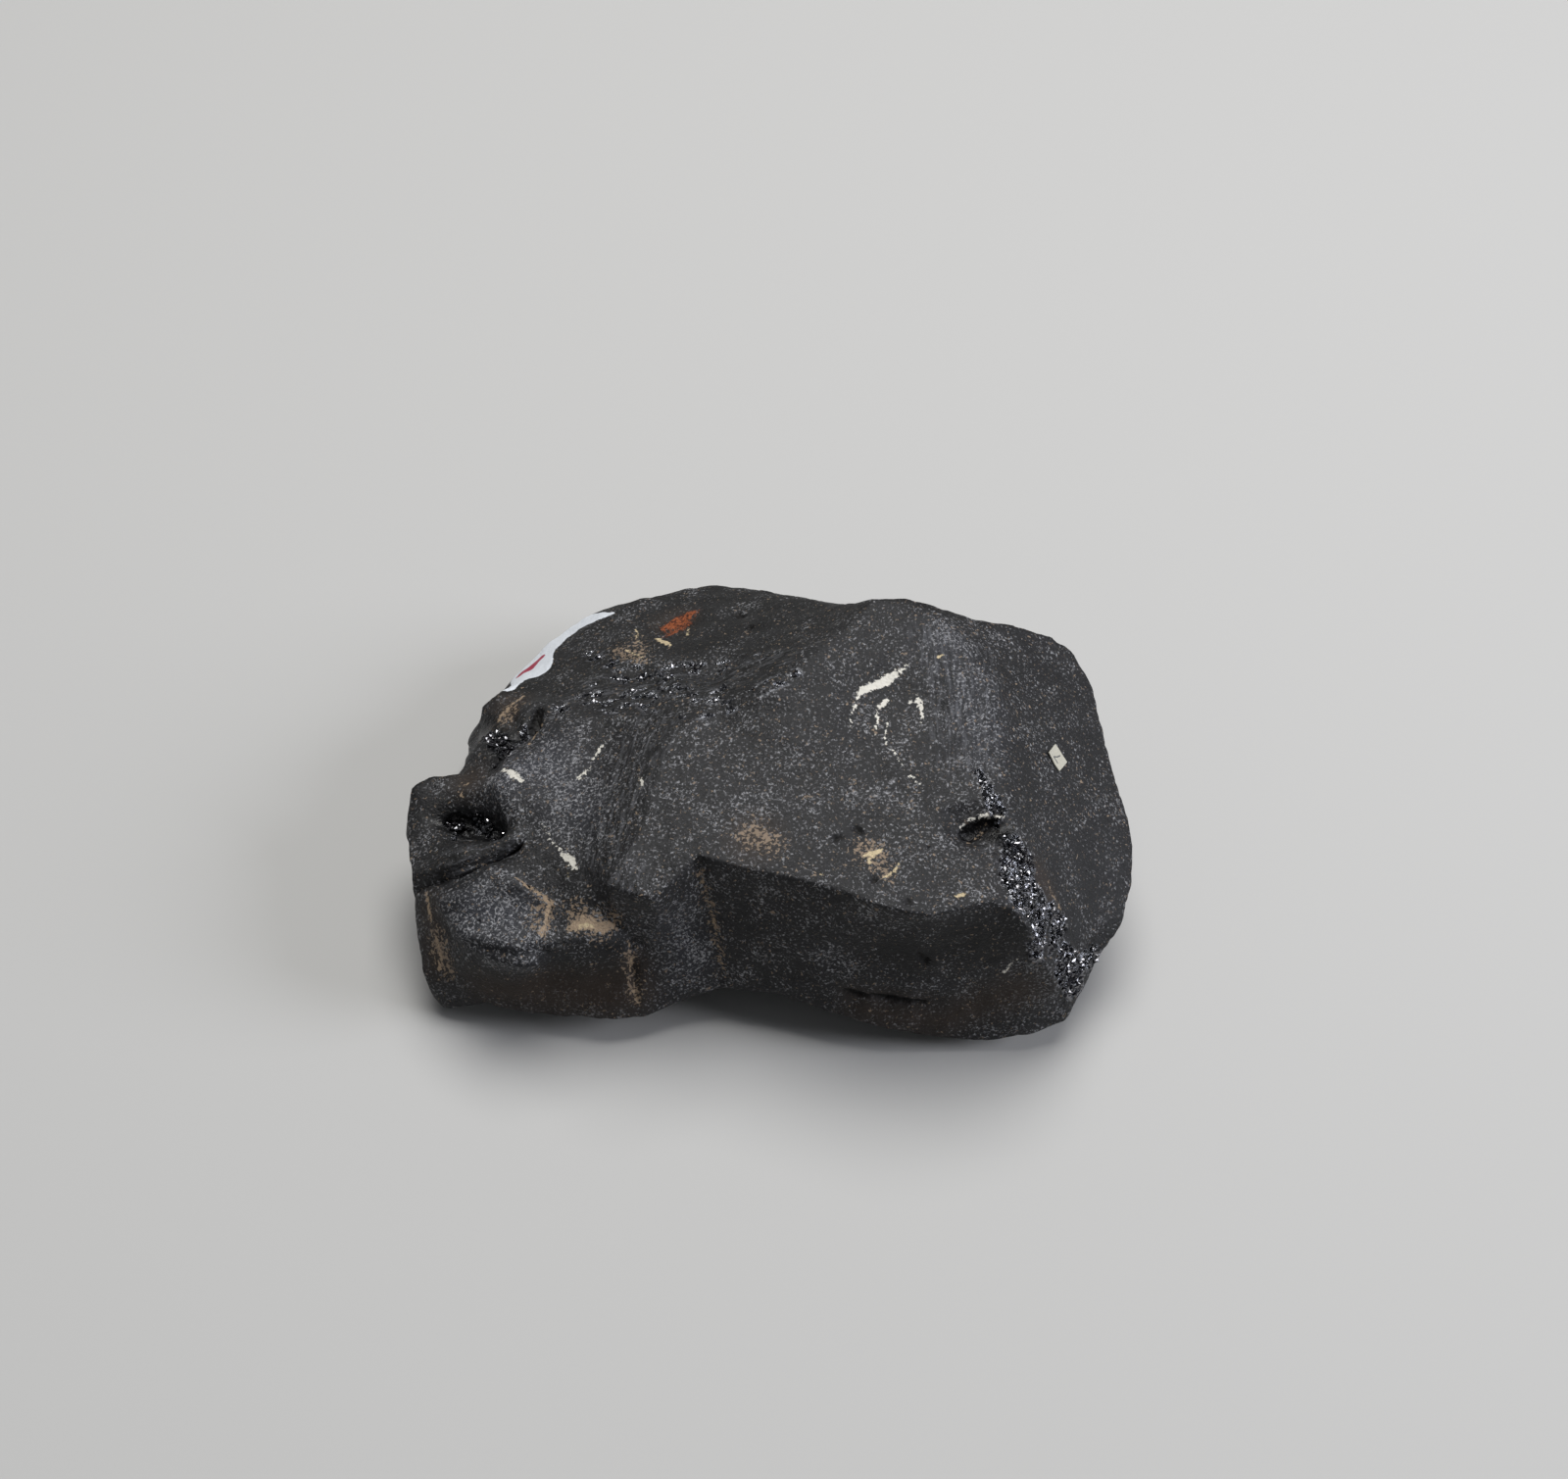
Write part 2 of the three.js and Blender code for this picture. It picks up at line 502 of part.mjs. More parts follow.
// The specimen stands on its flat spot, centred over the origin
const specimen = new THREE.Group();
const crystal = crystalMesh();
specimen.add(crystal, labelMesh(crystal));
const box = new THREE.Box3().setFromObject(crystal);
specimen.position.set(-(box.min.x + box.max.x) / 2, -(box.min.y + box.max.y) / 2, -box.min.z);

export default specimen;
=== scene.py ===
import math

import bmesh
import bpy
import numpy as np
from mathutils import Matrix, Vector, noise
from mathutils.bvhtree import BVHTree


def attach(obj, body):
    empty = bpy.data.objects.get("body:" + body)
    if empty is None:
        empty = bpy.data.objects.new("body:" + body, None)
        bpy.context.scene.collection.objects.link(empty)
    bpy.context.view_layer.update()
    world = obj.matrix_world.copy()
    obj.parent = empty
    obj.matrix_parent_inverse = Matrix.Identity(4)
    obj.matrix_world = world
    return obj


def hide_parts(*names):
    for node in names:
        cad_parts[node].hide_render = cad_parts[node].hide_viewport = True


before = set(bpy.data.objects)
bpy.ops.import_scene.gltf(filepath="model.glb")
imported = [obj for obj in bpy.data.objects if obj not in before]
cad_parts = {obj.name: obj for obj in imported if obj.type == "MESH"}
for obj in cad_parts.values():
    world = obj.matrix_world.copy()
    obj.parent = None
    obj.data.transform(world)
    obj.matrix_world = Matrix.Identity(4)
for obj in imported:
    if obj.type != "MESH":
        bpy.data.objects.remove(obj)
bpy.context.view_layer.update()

# Camera
# A small camera held about 23 cm from the specimen, looking down on it at 50 degrees.
# Places in this file were measured in millimetres from a point beside the crystal, on the level
# surface it rests on, and place() moves them into the part's own frame, in metres.
MM = 0.001
SURVEY_ORIGIN = Vector((2.06, 11.34, 0.0))
IMAGE_WIDTH = 1600
FOCAL_PIXELS = 2187.9
SENSOR_WIDTH = 36.0
CAMERA_PLACE = (-10.82, -162.64, 200.75)
CAMERA_RIGHT = Vector((0.99895, -0.01480, 0.04344))
CAMERA_DOWN = Vector((0.01622, -0.77160, -0.63590))
CAMERA_FORWARD = Vector((0.04293, 0.63594, -0.77055))


def place(x, y, z):
    return (Vector((x, y, z)) + SURVEY_ORIGIN) * MM


camera_data = bpy.data.cameras.new("specimen_camera")
camera_data.sensor_fit = "HORIZONTAL"
camera_data.sensor_width = SENSOR_WIDTH
camera_data.lens = FOCAL_PIXELS / IMAGE_WIDTH * SENSOR_WIDTH
camera_data.clip_start = 10 * MM
camera = bpy.data.objects.new("specimen_camera", camera_data)
aim = Matrix((CAMERA_RIGHT, -CAMERA_DOWN, -CAMERA_FORWARD)).transposed().to_4x4()
camera.matrix_world = Matrix.Translation(place(*CAMERA_PLACE)) @ aim
bpy.context.scene.collection.objects.link(camera)
bpy.context.scene.camera = camera
bpy.context.scene.view_settings.view_transform = "Standard"


# Floor
# A sheet of pale matte card, far larger than the specimen, which rests on it.
FLOOR_HALF = 1200 * MM
FLOOR_COLOUR = "#bdbcb9"


def linear(code):
    # an sRGB hex colour in linear light
    channels = [int(code[i : i + 2], 16) / 255 for i in (1, 3, 5)]
    return (*[c / 12.92 if c <= 0.04045 else ((c + 0.055) / 1.055) ** 2.4 for c in channels], 1.0)


def add(tree, kind, links=None, **settings):
    # a node with its settings, and with its sockets linked or given a value
    node = tree.nodes.new(kind)
    for name, value in settings.items():
        setattr(node, name, value)
    for socket, value in (links or {}).items():
        if isinstance(value, bpy.types.NodeSocket):
            tree.links.new(value, node.inputs[socket])
        else:
            node.inputs[socket].default_value = value
    return node


floor_corners = [(x * FLOOR_HALF, y * FLOOR_HALF, 0) for x, y in ((-1, -1), (1, -1), (1, 1), (-1, 1))]
floor_mesh = bpy.data.meshes.new("floor")
floor_mesh.from_pydata(floor_corners, [], [(0, 1, 2, 3)])
floor = bpy.data.objects.new("floor", floor_mesh)
bpy.context.scene.collection.objects.link(floor)
card = bpy.data.materials.new("matte_card")
card.use_nodes = True
card_shader = card.node_tree.nodes["Principled BSDF"]
card_shader.inputs["Base Color"].default_value = linear(FLOOR_COLOUR)
card_shader.inputs["Roughness"].default_value = 0.85
floor_mesh.materials.append(card)

# Studio light
# A broad soft panel overhead and a little behind, a smaller one at the right, a small bright lamp that
# wakes the glitter of the broken places, and a faint even sky that fills the shadows.
SKY_COLOUR = "#dfe3ea"
SKY_STRENGTH = 0.14
PANELS = {
    "overhead_panel": dict(where=(0.03, 0.26, 0.78), size=0.60, power=6.3, colour="#ffffff"),
    "right_panel": dict(where=(0.75, -0.10, 0.40), size=0.36, power=4.4, colour="#f2f5ff"),
    "glitter_lamp": dict(where=(-0.22, 0.30, 0.60), size=0.04, power=1.1, colour="#fffaf2"),
}
GLINTS_ONLY = "glitter_lamp"

world = bpy.data.worlds.new("studio_sky")
world.use_nodes = True
world.node_tree.nodes["Background"].inputs["Color"].default_value = linear(SKY_COLOUR)
world.node_tree.nodes["Background"].inputs["Strength"].default_value = SKY_STRENGTH
bpy.context.scene.world = world
for name, panel in PANELS.items():
    data = bpy.data.lights.new(name, "AREA")
    data.shape = "DISK"
    data.size = panel["size"]
    data.energy = panel["power"]
    data.color = linear(panel["colour"])[:3]
    lamp = bpy.data.objects.new(name, data)
    lamp.location = panel["where"]
    lamp.rotation_euler = (-Vector(panel["where"])).to_track_quat("-Z", "Y").to_euler()
    # the small lamp lights no matte surface, so it casts no hard shadow on the floor
    lamp.visible_diffuse = name != GLINTS_ONLY
    bpy.context.scene.collection.objects.link(lamp)

# Crystal
# One worn, twinned crystal of black rutile, satin and finely frosted on its old faces, glossy black
# where it is broken. Its faces and ridges are the frame's own. The frame holds them a little rounded,
# so the wear is taken back first, and the fine relief is then added at its real size.
WEAR_SHARE = 0.3
WEAR_PASSES = 2
SHARPEN_ROUNDS = 4
SOLE_HEIGHT = 2.0 * MM
WELD_DISTANCE = 0.002 * MM
# bends in degrees from which a ridge begins to be firm, and is fully firm
SOFT_BEND = 16.0
HARD_BEND = 42.0
FIRMEST_RIDGE = 0.9
# crests that stay rounded, as x, y, z and radius in millimetres
SOFT_CRESTS = [
    (22.0, -10.0, 27.0, 3.5),
    (22.3, -17.0, 26.0, 3.5),
    (22.8, -23.0, 25.0, 3.0),
    (19.0, -5.0, 28.0, 3.0),
]
SOFT_FADE = 2.0 * MM


def ball_gap(points, balls):
    # how far each point is outside the nearest ball
    gap = np.full(len(points), np.inf)
    for *centre, radius in balls:
        away = np.linalg.norm(points - np.array(place(*centre)), axis=1)
        gap = np.minimum(gap, away - radius * MM)
    return gap


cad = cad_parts["rutile_crystal"]
rough = bmesh.new()
rough.from_mesh(cad.data)
bmesh.ops.remove_doubles(rough, verts=rough.verts, dist=WELD_DISTANCE)
rough.verts.ensure_lookup_table()
held = np.array([v.co for v in rough.verts])
rough_ends = np.array([[v.index for v in e.verts] for e in rough.edges])
rough_neighbours = np.bincount(rough_ends.ravel(), minlength=len(held))[:, None]


def worn(points):
    # each point is drawn a little towards the mean of its neighbours
    for _ in range(WEAR_PASSES):
        total = np.zeros_like(points)
        np.add.at(total, rough_ends[:, 0], points[rough_ends[:, 1]])
        np.add.at(total, rough_ends[:, 1], points[rough_ends[:, 0]])
        points = points + WEAR_SHARE * (total / rough_neighbours - points)
    return points


fresh_shape = held.copy()
above_sole = np.clip(held[:, 2:] / SOLE_HEIGHT - 0.5, 0, 1)
soft = np.clip(1.5 - ball_gap(held, SOFT_CRESTS) / SOFT_FADE, 0, 1)[:, None]
for _ in range(SHARPEN_ROUNDS):
    fresh_shape += (held - worn(fresh_shape)) * above_sole * (1 - soft)
for vert, point in zip(rough.verts, fresh_shape):
    vert.co = point
rough.normal_update()
crease = rough.edges.layers.float.new("crease_edge")
for edge in rough.edges:
    bend = math.degrees(edge.calc_face_angle(0.0))
    firmness = min(max((bend - SOFT_BEND) / (HARD_BEND - SOFT_BEND), 0.0), FIRMEST_RIDGE)
    edge[crease] = firmness * (1 - float(soft[edge.verts[0].index, 0]))
crystal_mesh = bpy.data.meshes.new("crystal")
rough.to_mesh(crystal_mesh)
rough.free()
crystal = bpy.data.objects.new("crystal", crystal_mesh)
bpy.context.scene.collection.objects.link(crystal)
smooth = crystal.modifiers.new("smooth", "SUBSURF")
smooth.levels = 1
smooth.render_levels = 1
evaluated = crystal.evaluated_get(bpy.context.evaluated_depsgraph_get())
crystal_mesh = bpy.data.meshes.new_from_object(evaluated)
crystal.modifiers.clear()
crystal.data = crystal_mesh

# Marks on the crystal
# Breaks, chips, stains and dust were placed through the camera. Each is a brush stroke of dabs: picture
# pixels across and down, and the dab's half-width on the stone in millimetres. On the far side a dab has
# x, y and z in millimetres in place of its pixels.
PICTURE_CENTRE = (800.0, 754.5)
BREAKS = [
    [(481, 838, 0.4), (484, 834, 0.3)],
    [(457, 839, 0.35), (468, 844, 0.45), (476, 843, 0.3)],
    [(499, 846, 0.5), (509, 852, 0.4)],
    [(464, 856, 0.4)],
    [(500, 748, 0.9), (508, 757, 1.2), (517, 768, 1.0)],
    [(505, 782, 0.5)],
    [(534, 742, 0.4), (530, 756, 0.5)],
    [(484, 838, 0.7), (496, 846, 0.6)],
    [(466, 852, 0.5)],
    [(1018, 838, 0.6), (1016, 826, 0.85), (1011, 812, 0.6), (1003, 798, 0.4), (998, 788, 0.25)],
    [(1034, 862, 1.0), (1040, 882, 2.1), (1044, 904, 2.6), (1052, 926, 2.4), (1058, 950, 1.9)],
    [(1074, 928, 0.9), (1079, 946, 1.4), (1073, 964, 0.9)],
    [(1056, 966, 0.7), (1060, 978, 0.5)],
    [(1084, 978, 1.5), (1092, 994, 1.7), (1097, 1010, 1.3)],
    [(1102, 986, 1.3), (1112, 974, 1.2)],
    [(3, 20, 9, 0.7), (7, 20, 8, 1.5), (12, 19, 8, 1.2), (15, 18, 7, 0.6)],
    [(-16, 18, 7, 0.8), (-13, 18, 7, 1.1)],
    [(33, 12, 9, 0.7), (34, 9, 8, 1.1)],
]
GLASSY = [
    [(497, 742, 1.6), (512, 762, 2.0), (506, 784, 1.0)],
    [(452, 838, 1.2), (470, 842, 1.9), (490, 843, 1.6), (512, 852, 1.0), (530, 862, 0.5)],
    [(980, 848, 0.6), (988, 852, 1.0), (1000, 844, 0.9), (1014, 840, 0.6)],
    [(1012, 854, 0.7), (1026, 850, 0.8)],
]
CHIPPED = [
    [(565, 725, 1.2), (585, 718, 1.4), (610, 712, 1.5), (628, 722, 1.5), (650, 706, 1.6), (668, 722, 1.3)],
    [(600, 668, 0.9), (622, 676, 1.1), (660, 690, 1.4), (690, 700, 1.5), (720, 712, 1.5), (745, 704, 1.2)],
    [(700, 728, 1.1), (725, 727, 1.2), (755, 712, 1.2), (780, 700, 1.0), (810, 688, 0.9)],
    [(600, 700, 1.2), (650, 690, 1.4), (700, 682, 1.4), (750, 675, 1.2), (790, 668, 1.0)],
    [(1000, 790, 0.5), (1006, 806, 0.7), (1016, 820, 0.7)],
    [(1030, 900, 0.7), (1036, 924, 0.6)],
]
PITS = [
    [(548, 724, 0.7), (546, 736, 0.8), (540, 750, 0.4)],
    [(464, 838, 0.9), (476, 846, 0.9)],
    [(752, 627, 0.45), (757, 630, 0.35)],
    [(765, 640, 0.4)],
    [(873, 845, 0.3), (878, 848, 0.25)],
    [(853, 855, 0.25), (858, 853, 0.2)],
    [(892, 897, 0.35)],
    [(927, 920, 0.3)],
    [(938, 974, 0.3), (945, 980, 0.45)],
    [(862, 1010, 0.2), (874, 1014, 0.35), (890, 1016, 0.2)],
    [(890, 1016, 0.2), (903, 1017, 0.3), (922, 1021, 0.35), (944, 1022, 0.2)],
]
# combed zones, where the crystal's growth left fine parallel ribs, and two points along the ribs
COMBED = [
    ([(668, 740, 3.0), (640, 800, 3.2), (615, 870, 3.0), (640, 905, 2.0)], ((655, 745), (612, 890))),
    ([(450, 885, 1.8), (490, 875, 1.8), (525, 862, 1.5)], ((440, 890), (530, 855))),
    ([(1000, 660, 1.4), (1006, 720, 1.4), (1004, 780, 1.4)], ((1000, 650), (1006, 790))),
    ([(600, 705, 2.2), (700, 700, 2.8), (790, 675, 2.4)], ((600, 715), (760, 672))),
    ([(955, 655, 2.6), (975, 710, 3.0), (975, 770, 2.4)], ((975, 650), (985, 790))),
    ([(1010, 858, 1.2), (1030, 875, 1.2)], ((990, 870), (1040, 858))),
]
# broken steps, each with a guide along its high side and its low side, and its rise and fade in
# millimetres
STEPS = [
    dict(
        high=[(524, 902, 0), (540, 913, 0), (556, 922, 0), (560, 927, 0), (556, 938, 0), (549, 957, 0)],
        low=[(531, 892, 0), (547, 903, 0), (565, 912, 0), (574, 922, 0), (570, 939, 0), (562, 963, 0)],
        rise=1.0,
        fade=4.0,
    ),
    dict(
        high=[(470, 950, 0), (496, 960, 0), (525, 968, 0), (552, 962, 0), (585, 958, 0), (620, 958, 0)],
        low=[(462, 960, 0), (492, 971, 0), (525, 979, 0), (556, 973, 0), (588, 969, 0), (622, 970, 0)],
        rise=0.7,
        fade=3.0,
    ),
]
# how long the mesh's edges are on the marks, elsewhere, in the combed zones and near the floor
FINE_EDGE = 0.16 * MM
COMMON_EDGE = 0.45 * MM
COMB_EDGE = 0.34 * MM
HIDDEN_EDGE = 1.3 * MM
HIDDEN_HEIGHT = 3.0 * MM
MARK_MARGIN = 0.3 * MM
COMB_MARGIN = 0.5 * MM
STEP_MARGIN = 0.7 * MM
CUT_ROUNDS = 5
CUT_ABOVE = 1.4
NEAREST_TRIES = 6

skin = BVHTree.FromObject(crystal, bpy.context.evaluated_depsgraph_get())


def seen(u, v):
    # the place on the stone that the camera sees at a pixel
    across = (u - PICTURE_CENTRE[0]) / FOCAL_PIXELS
    down = (v - PICTURE_CENTRE[1]) / FOCAL_PIXELS
    ray = (CAMERA_FORWARD + across * CAMERA_RIGHT + down * CAMERA_DOWN).normalized()
    eye = place(*CAMERA_PLACE)
    found = skin.ray_cast(eye, ray)[0]
    if found:
        return found
    # a dab just past the outline is put on the nearest stone
    found = Vector((0, 0, 0))
    for _ in range(NEAREST_TRIES):
        found = skin.find_nearest(eye + ray * (found - eye).dot(ray))[0]
    return found


def on_stone(*spot):
    # two numbers are picture pixels, and three a place on the side that the camera doesn't see
    return seen(*spot) if len(spot) == 2 else skin.find_nearest(place(*spot))[0]


def stroke_gap(points, strokes):
    # how far each point is outside the nearest stroke, below zero inside it
    gap = np.full(len(points), np.inf)
    for stroke in strokes:
        dabs = [(np.array(on_stone(*spot)), width * MM) for *spot, width in stroke]
        for (start, start_width), (end, end_width) in zip(dabs, dabs[1:] or dabs):
            along = end - start
            length = max(along @ along, 1e-12)
            share = np.clip((points - start) @ along / length, 0, 1)
            away = np.linalg.norm(points - start - share[:, None] * along, axis=1)
            gap = np.minimum(gap, away - start_width - share * (end_width - start_width))
    return gap


fine = bmesh.new()
fine.from_mesh(crystal_mesh)
bmesh.ops.triangulate(fine, faces=fine.faces)
for _ in range(CUT_ROUNDS):
    middles = np.array([(e.verts[0].co + e.verts[1].co) / 2 for e in fine.edges])
    lengths = np.array([e.calc_length() for e in fine.edges])
    wanted = np.where(middles[:, 2] < HIDDEN_HEIGHT, HIDDEN_EDGE, COMMON_EDGE)
    wanted[stroke_gap(middles, [strokes for strokes, _ in COMBED]) < COMB_MARGIN] = COMB_EDGE
    wanted[stroke_gap(middles, BREAKS + CHIPPED + PITS) < MARK_MARGIN] = FINE_EDGE
    wanted[stroke_gap(middles, [step["high"] for step in STEPS]) < STEP_MARGIN] = FINE_EDGE
    long = [edge for edge, cut in zip(fine.edges, lengths > CUT_ABOVE * wanted) if cut]
    if not long:
        break
    bmesh.ops.subdivide_edges(fine, edges=long, cuts=1)
    bmesh.ops.triangulate(fine, faces=[face for face in fine.faces if len(face.verts) > 3])
fine.normal_update()
fine.to_mesh(crystal_mesh)
fine.free()

# Relief of the crystal
# Old faces are pitted like orange peel, ridges are nicked, and broken places are small flat facets.
# Thin corners are worn round before the relief is added.
CORNERS = [
    [(420, 826, 0.2)],
    [(439, 1006, 0.2)],
    [(-36.9, -2.9, 5.3, 0.6), (-36.6, -5.2, 8.0, 0.6)],
]
CORNER_FADE = 4.0 * MM
CORNER_PASSES = 20
# the orange peel and the facets, each as a size and a depth
PEEL = [(2.4 * MM, 0.12 * MM), (1.1 * MM, 0.09 * MM)]
FACETS = [(1.3 * MM, 0.9 * MM), (0.6 * MM, 0.6 * MM)]
# how far the borders of the broken places run, and how ragged they are
BREAK_FADE = 0.5 * MM
BREAK_RAG = 0.8 * MM
CHIP_FADE = 1.2 * MM
CHIP_SIZE = 0.7 * MM
CHIP_STRETCH = 0.4
CHIP_SHARE = 0.6
GLASS_FADE = 0.6 * MM
PIT_FADE = 0.4 * MM
PIT_DEPTH = 0.45 * MM
PIT_LUMP = 0.8 * MM
RIDGE_RISE = 0.12 * MM
NICK_SIZE = 1.1 * MM
NICK_DEPTH = 0.13 * MM
COMB_SIZES = (1.0 * MM, 0.5 * MM)
COMB_STRETCH = 0.15
COMB_DEPTH = 0.12 * MM
COMB_FADE = 3.0 * MM
STEP_WIDTH = 0.5 * MM
# the run of the chips, as two points in picture pixels
CHIP_RUN = ((600, 715), (760, 672))
# lines raised or sunk: strokes with the height and the half-width in millimetres
WELTS = [
    ([(713, 880, 0), (725, 930, 0), (738, 1000, 0)], -0.3, 0.7),
    ([(976, 848, 0), (986, 838, 0), (1004, 833, 0), (1022, 835, 0)], 0.45, 0.35),
    ([(994, 866, 0), (1012, 864, 0), (1030, 852, 0)], 0.35, 0.6),
    ([(1007, 837, 0), (997, 850, 0), (987, 860, 0)], 0.12, 0.2),
    ([(905, 768, 0), (914, 788, 0), (930, 808, 0), (960, 822, 0)], 0.1, 0.4),
    ([(450, 862, 0), (480, 868, 0), (510, 862, 0), (535, 850, 0)], 0.3, 0.9),
    ([(440, 903, 0), (475, 890, 0), (505, 876, 0), (532, 860, 0)], 0.45, 0.7),
    ([(988, 853, 0), (1000, 845, 0), (1008, 841, 0)], -0.7, 0.8),
    ([(1014, 875, 0), (1030, 868, 0)], 0.2, 0.4),
    ([(645, 962, 0), (647, 985, 0), (650, 1020, 0)], -0.5, 0.4),
    ([(456, 838, 0), (484, 842, 0), (510, 850, 0)], -0.5, 1.5),
    ([(548, 722, 0), (545, 740, 0), (532, 752, 0)], -0.9, 0.8),
    ([(500, 748, 0), (508, 762, 0)], -0.6, 0.8),
]

count = len(crystal_mesh.vertices)
points = np.empty(count * 3)
crystal_mesh.vertices.foreach_get("co", points)
points = points.reshape(-1, 3)
ends = np.empty(len(crystal_mesh.edges) * 2, dtype=int)
crystal_mesh.edges.foreach_get("vertices", ends)
ends = ends.reshape(-1, 2)
neighbours = np.bincount(ends.ravel(), minlength=count)


def spread(values, passes):
    # each value moves half-way to the mean of its neighbours
    for _ in range(passes):
        total = np.zeros_like(values)
        np.add.at(total, ends[:, 0], values[ends[:, 1]])
        np.add.at(total, ends[:, 1], values[ends[:, 0]])
        values = 0.5 * values + 0.5 * (total.T / neighbours).T
    return values


corner = np.clip(0.5 - stroke_gap(points, CORNERS) / CORNER_FADE, 0, 1)[:, None]
points += corner * (spread(points, CORNER_PASSES) - points)
crystal_mesh.vertices.foreach_set("co", points.ravel())
crystal_mesh.update()
normals = np.empty(count * 3)
crystal_mesh.vertices.foreach_get("normal", normals)
normals = normals.reshape(-1, 3)


def grain(size, seed):
    # smooth lumps of one size
    shift = Vector((seed * 17.3, seed * 5.9, seed * 11.1))
    return np.array([noise.noise(Vector(p) / size + shift) for p in points])


def facets(size, seed):
    # small flat faces of one size, each tilted its own way
    heights = []
    for p in points:
        at = Vector(p) / size + Vector((seed * 7.7, seed * 3.1, seed * 9.2))
        centre = noise.voronoi(at)[1][0]
        heights.append((noise.cell_vector(centre * 31.7) - Vector((0.5, 0.5, 0.5))).dot(at - centre))
    return np.array(heights)


broken = 1 - np.clip(stroke_gap(points, BREAKS) / BREAK_FADE + 0.3 + 1.2 * grain(BREAK_RAG, 1), 0, 1)
chipped = 1 - np.clip(stroke_gap(points, CHIPPED) / CHIP_FADE + 0.5, 0, 1)
chip_run = np.array((seen(*CHIP_RUN[1]) - seen(*CHIP_RUN[0])).normalized())
chip_points = points - (1 - CHIP_STRETCH) * (points @ chip_run)[:, None] * chip_run
chips = np.array([noise.noise(Vector(p) / CHIP_SIZE) for p in chip_points])
chipped *= np.clip(6 * chips, 0, 1)
fresh = np.maximum(broken, chipped)
glassy = np.clip(0.5 - stroke_gap(points, GLASSY) / GLASS_FADE, 0, 1)
ridge = spread(np.clip(((points - spread(points, 6)) * normals).sum(1) / RIDGE_RISE, 0, 1), 1)
pit = np.clip(0.5 - stroke_gap(points, PITS) / PIT_FADE, 0, 1)

height = sum(depth * grain(size, 3 + i) for i, (size, depth) in enumerate(PEEL)) * (1 - fresh)
rough_height = sum(depth * facets(size, 5 + i) for i, (size, depth) in enumerate(FACETS))
height += rough_height * np.maximum(broken, CHIP_SHARE * chipped)
height -= NICK_DEPTH * ridge * np.clip(2 * grain(NICK_SIZE, 8) - 0.1, 0, 1)
height -= PIT_DEPTH * pit * (0.8 + 0.6 * grain(PIT_LUMP, 9))
for step in STEPS:
    low_gap = stroke_gap(points, [step["low"]])
    high_gap = stroke_gap(points, [step["high"]])
    side = np.clip(0.5 + (low_gap - high_gap) / STEP_WIDTH, 0, 1)
    height += step["rise"] * MM * side * np.exp(-high_gap / (step["fade"] * MM))
for stroke, rise, half in WELTS:
    height += rise * MM * np.exp(-((stroke_gap(points, [stroke]) / (half * MM)) ** 2))
# each point takes its ribs from the nearest combed zone, in coordinates drawn together along them
comb_gap = np.full(count, np.inf)
comb_place = points.copy()
for strokes, (start, end) in COMBED:
    gap = stroke_gap(points, [strokes])
    rib = np.array((seen(*end) - seen(*start)).normalized())
    squeezed = points - (1 - COMB_STRETCH) * (points @ rib)[:, None] * rib
    comb_place[gap < comb_gap] = squeezed[gap < comb_gap]
    comb_gap = np.minimum(gap, comb_gap)
combed = np.clip(0.5 - comb_gap / COMB_FADE, 0, 1) * (1 - fresh)
ribs = sum(np.array([noise.noise(Vector(p) / size) for p in comb_place]) for size in COMB_SIZES)
height += COMB_DEPTH * ribs * combed
above_sole = np.clip(points[:, 2] / SOLE_HEIGHT - 0.5, 0, 1)

# Stains and dust on the crystal
# Rust, clay-coloured dust, cream and white powder in the hollows, and a dab of white paint at the back
# edge with a plain red stroke on it. Light and shade are painted here too: two painted highlights among
# the white strokes, painted shade on the slopes turned to the back and the right and in the dark bare
# zones, a painted warm glow of bounced light on the low faces, and a painted bluish sheen in the frosted
# zones.
RUST = [
    [(678, 642, 0.8), (690, 636, 1.2), (702, 629, 1.0), (713, 623, 0.5)],
    [(680, 650, 0.5), (690, 646, 0.8), (702, 638, 0.6)],
]
WHITE = [
    [(875, 709, 0.22), (881, 704, 0.45), (893, 700, 0.42), (905, 694, 0.62), (911, 689, 0.4)],
    [(911, 689, 0.4), (918, 685, 0.26), (928, 677, 0.06)],
    [(875, 712, 0.12), (872, 722, 0.1), (868, 731, 0.02)],
    [(896, 723, 0.15), (901, 718, 0.3), (908, 711, 0.08)],
    [(895, 727, 0.08), (895, 738, 0.12), (892, 751, 0.03)],
    [(936, 708, 0.04), (938, 716, 0.3), (940, 723, 0.22), (941, 732, 0.1), (940, 739, 0.02)],
    [(926, 717, 0.08), (935, 716, 0.15)],
    [(575, 872, 0.25), (583, 878, 0.5), (587, 886, 0.2)],
    [(553, 840, 0.03), (561, 856, 0.06), (573, 869, 0.1)],
    [(513, 786, 0.2), (525, 791, 0.42), (533, 797, 0.25)],
    [(617, 758, 0.06), (611, 766, 0.18), (604, 776, 0.08)],
    [(590, 794, 0.1), (597, 789, 0.14), (604, 781, 0.06)],
    [(905, 738, 0.05), (903, 756, 0.08), (915, 772, 0.06), (926, 790, 0.05), (944, 804, 0.02)],
    [(868, 728, 0.06), (869, 742, 0.03)],
    # a painted highlight: a small bright glint
    [(1022, 993, 0.03), (1029, 987, 0.1), (1038, 979, 0.03)],
    [(734, 753, 0.16)],
    [(0, 18, 15, 0.1), (3, 18, 14, 0.22), (4, 18, 13, 0.05)],
    [(26, 13, 12, 0.08), (28, 12, 11, 0.14)],
    [(655, 801, 0.2), (654, 792, 0.05)],
    # a painted highlight along the rim of the hollow
    [(979, 846, 0.08), (987, 838, 0.15), (1005, 832, 0.16), (1024, 835, 0.12)],
]
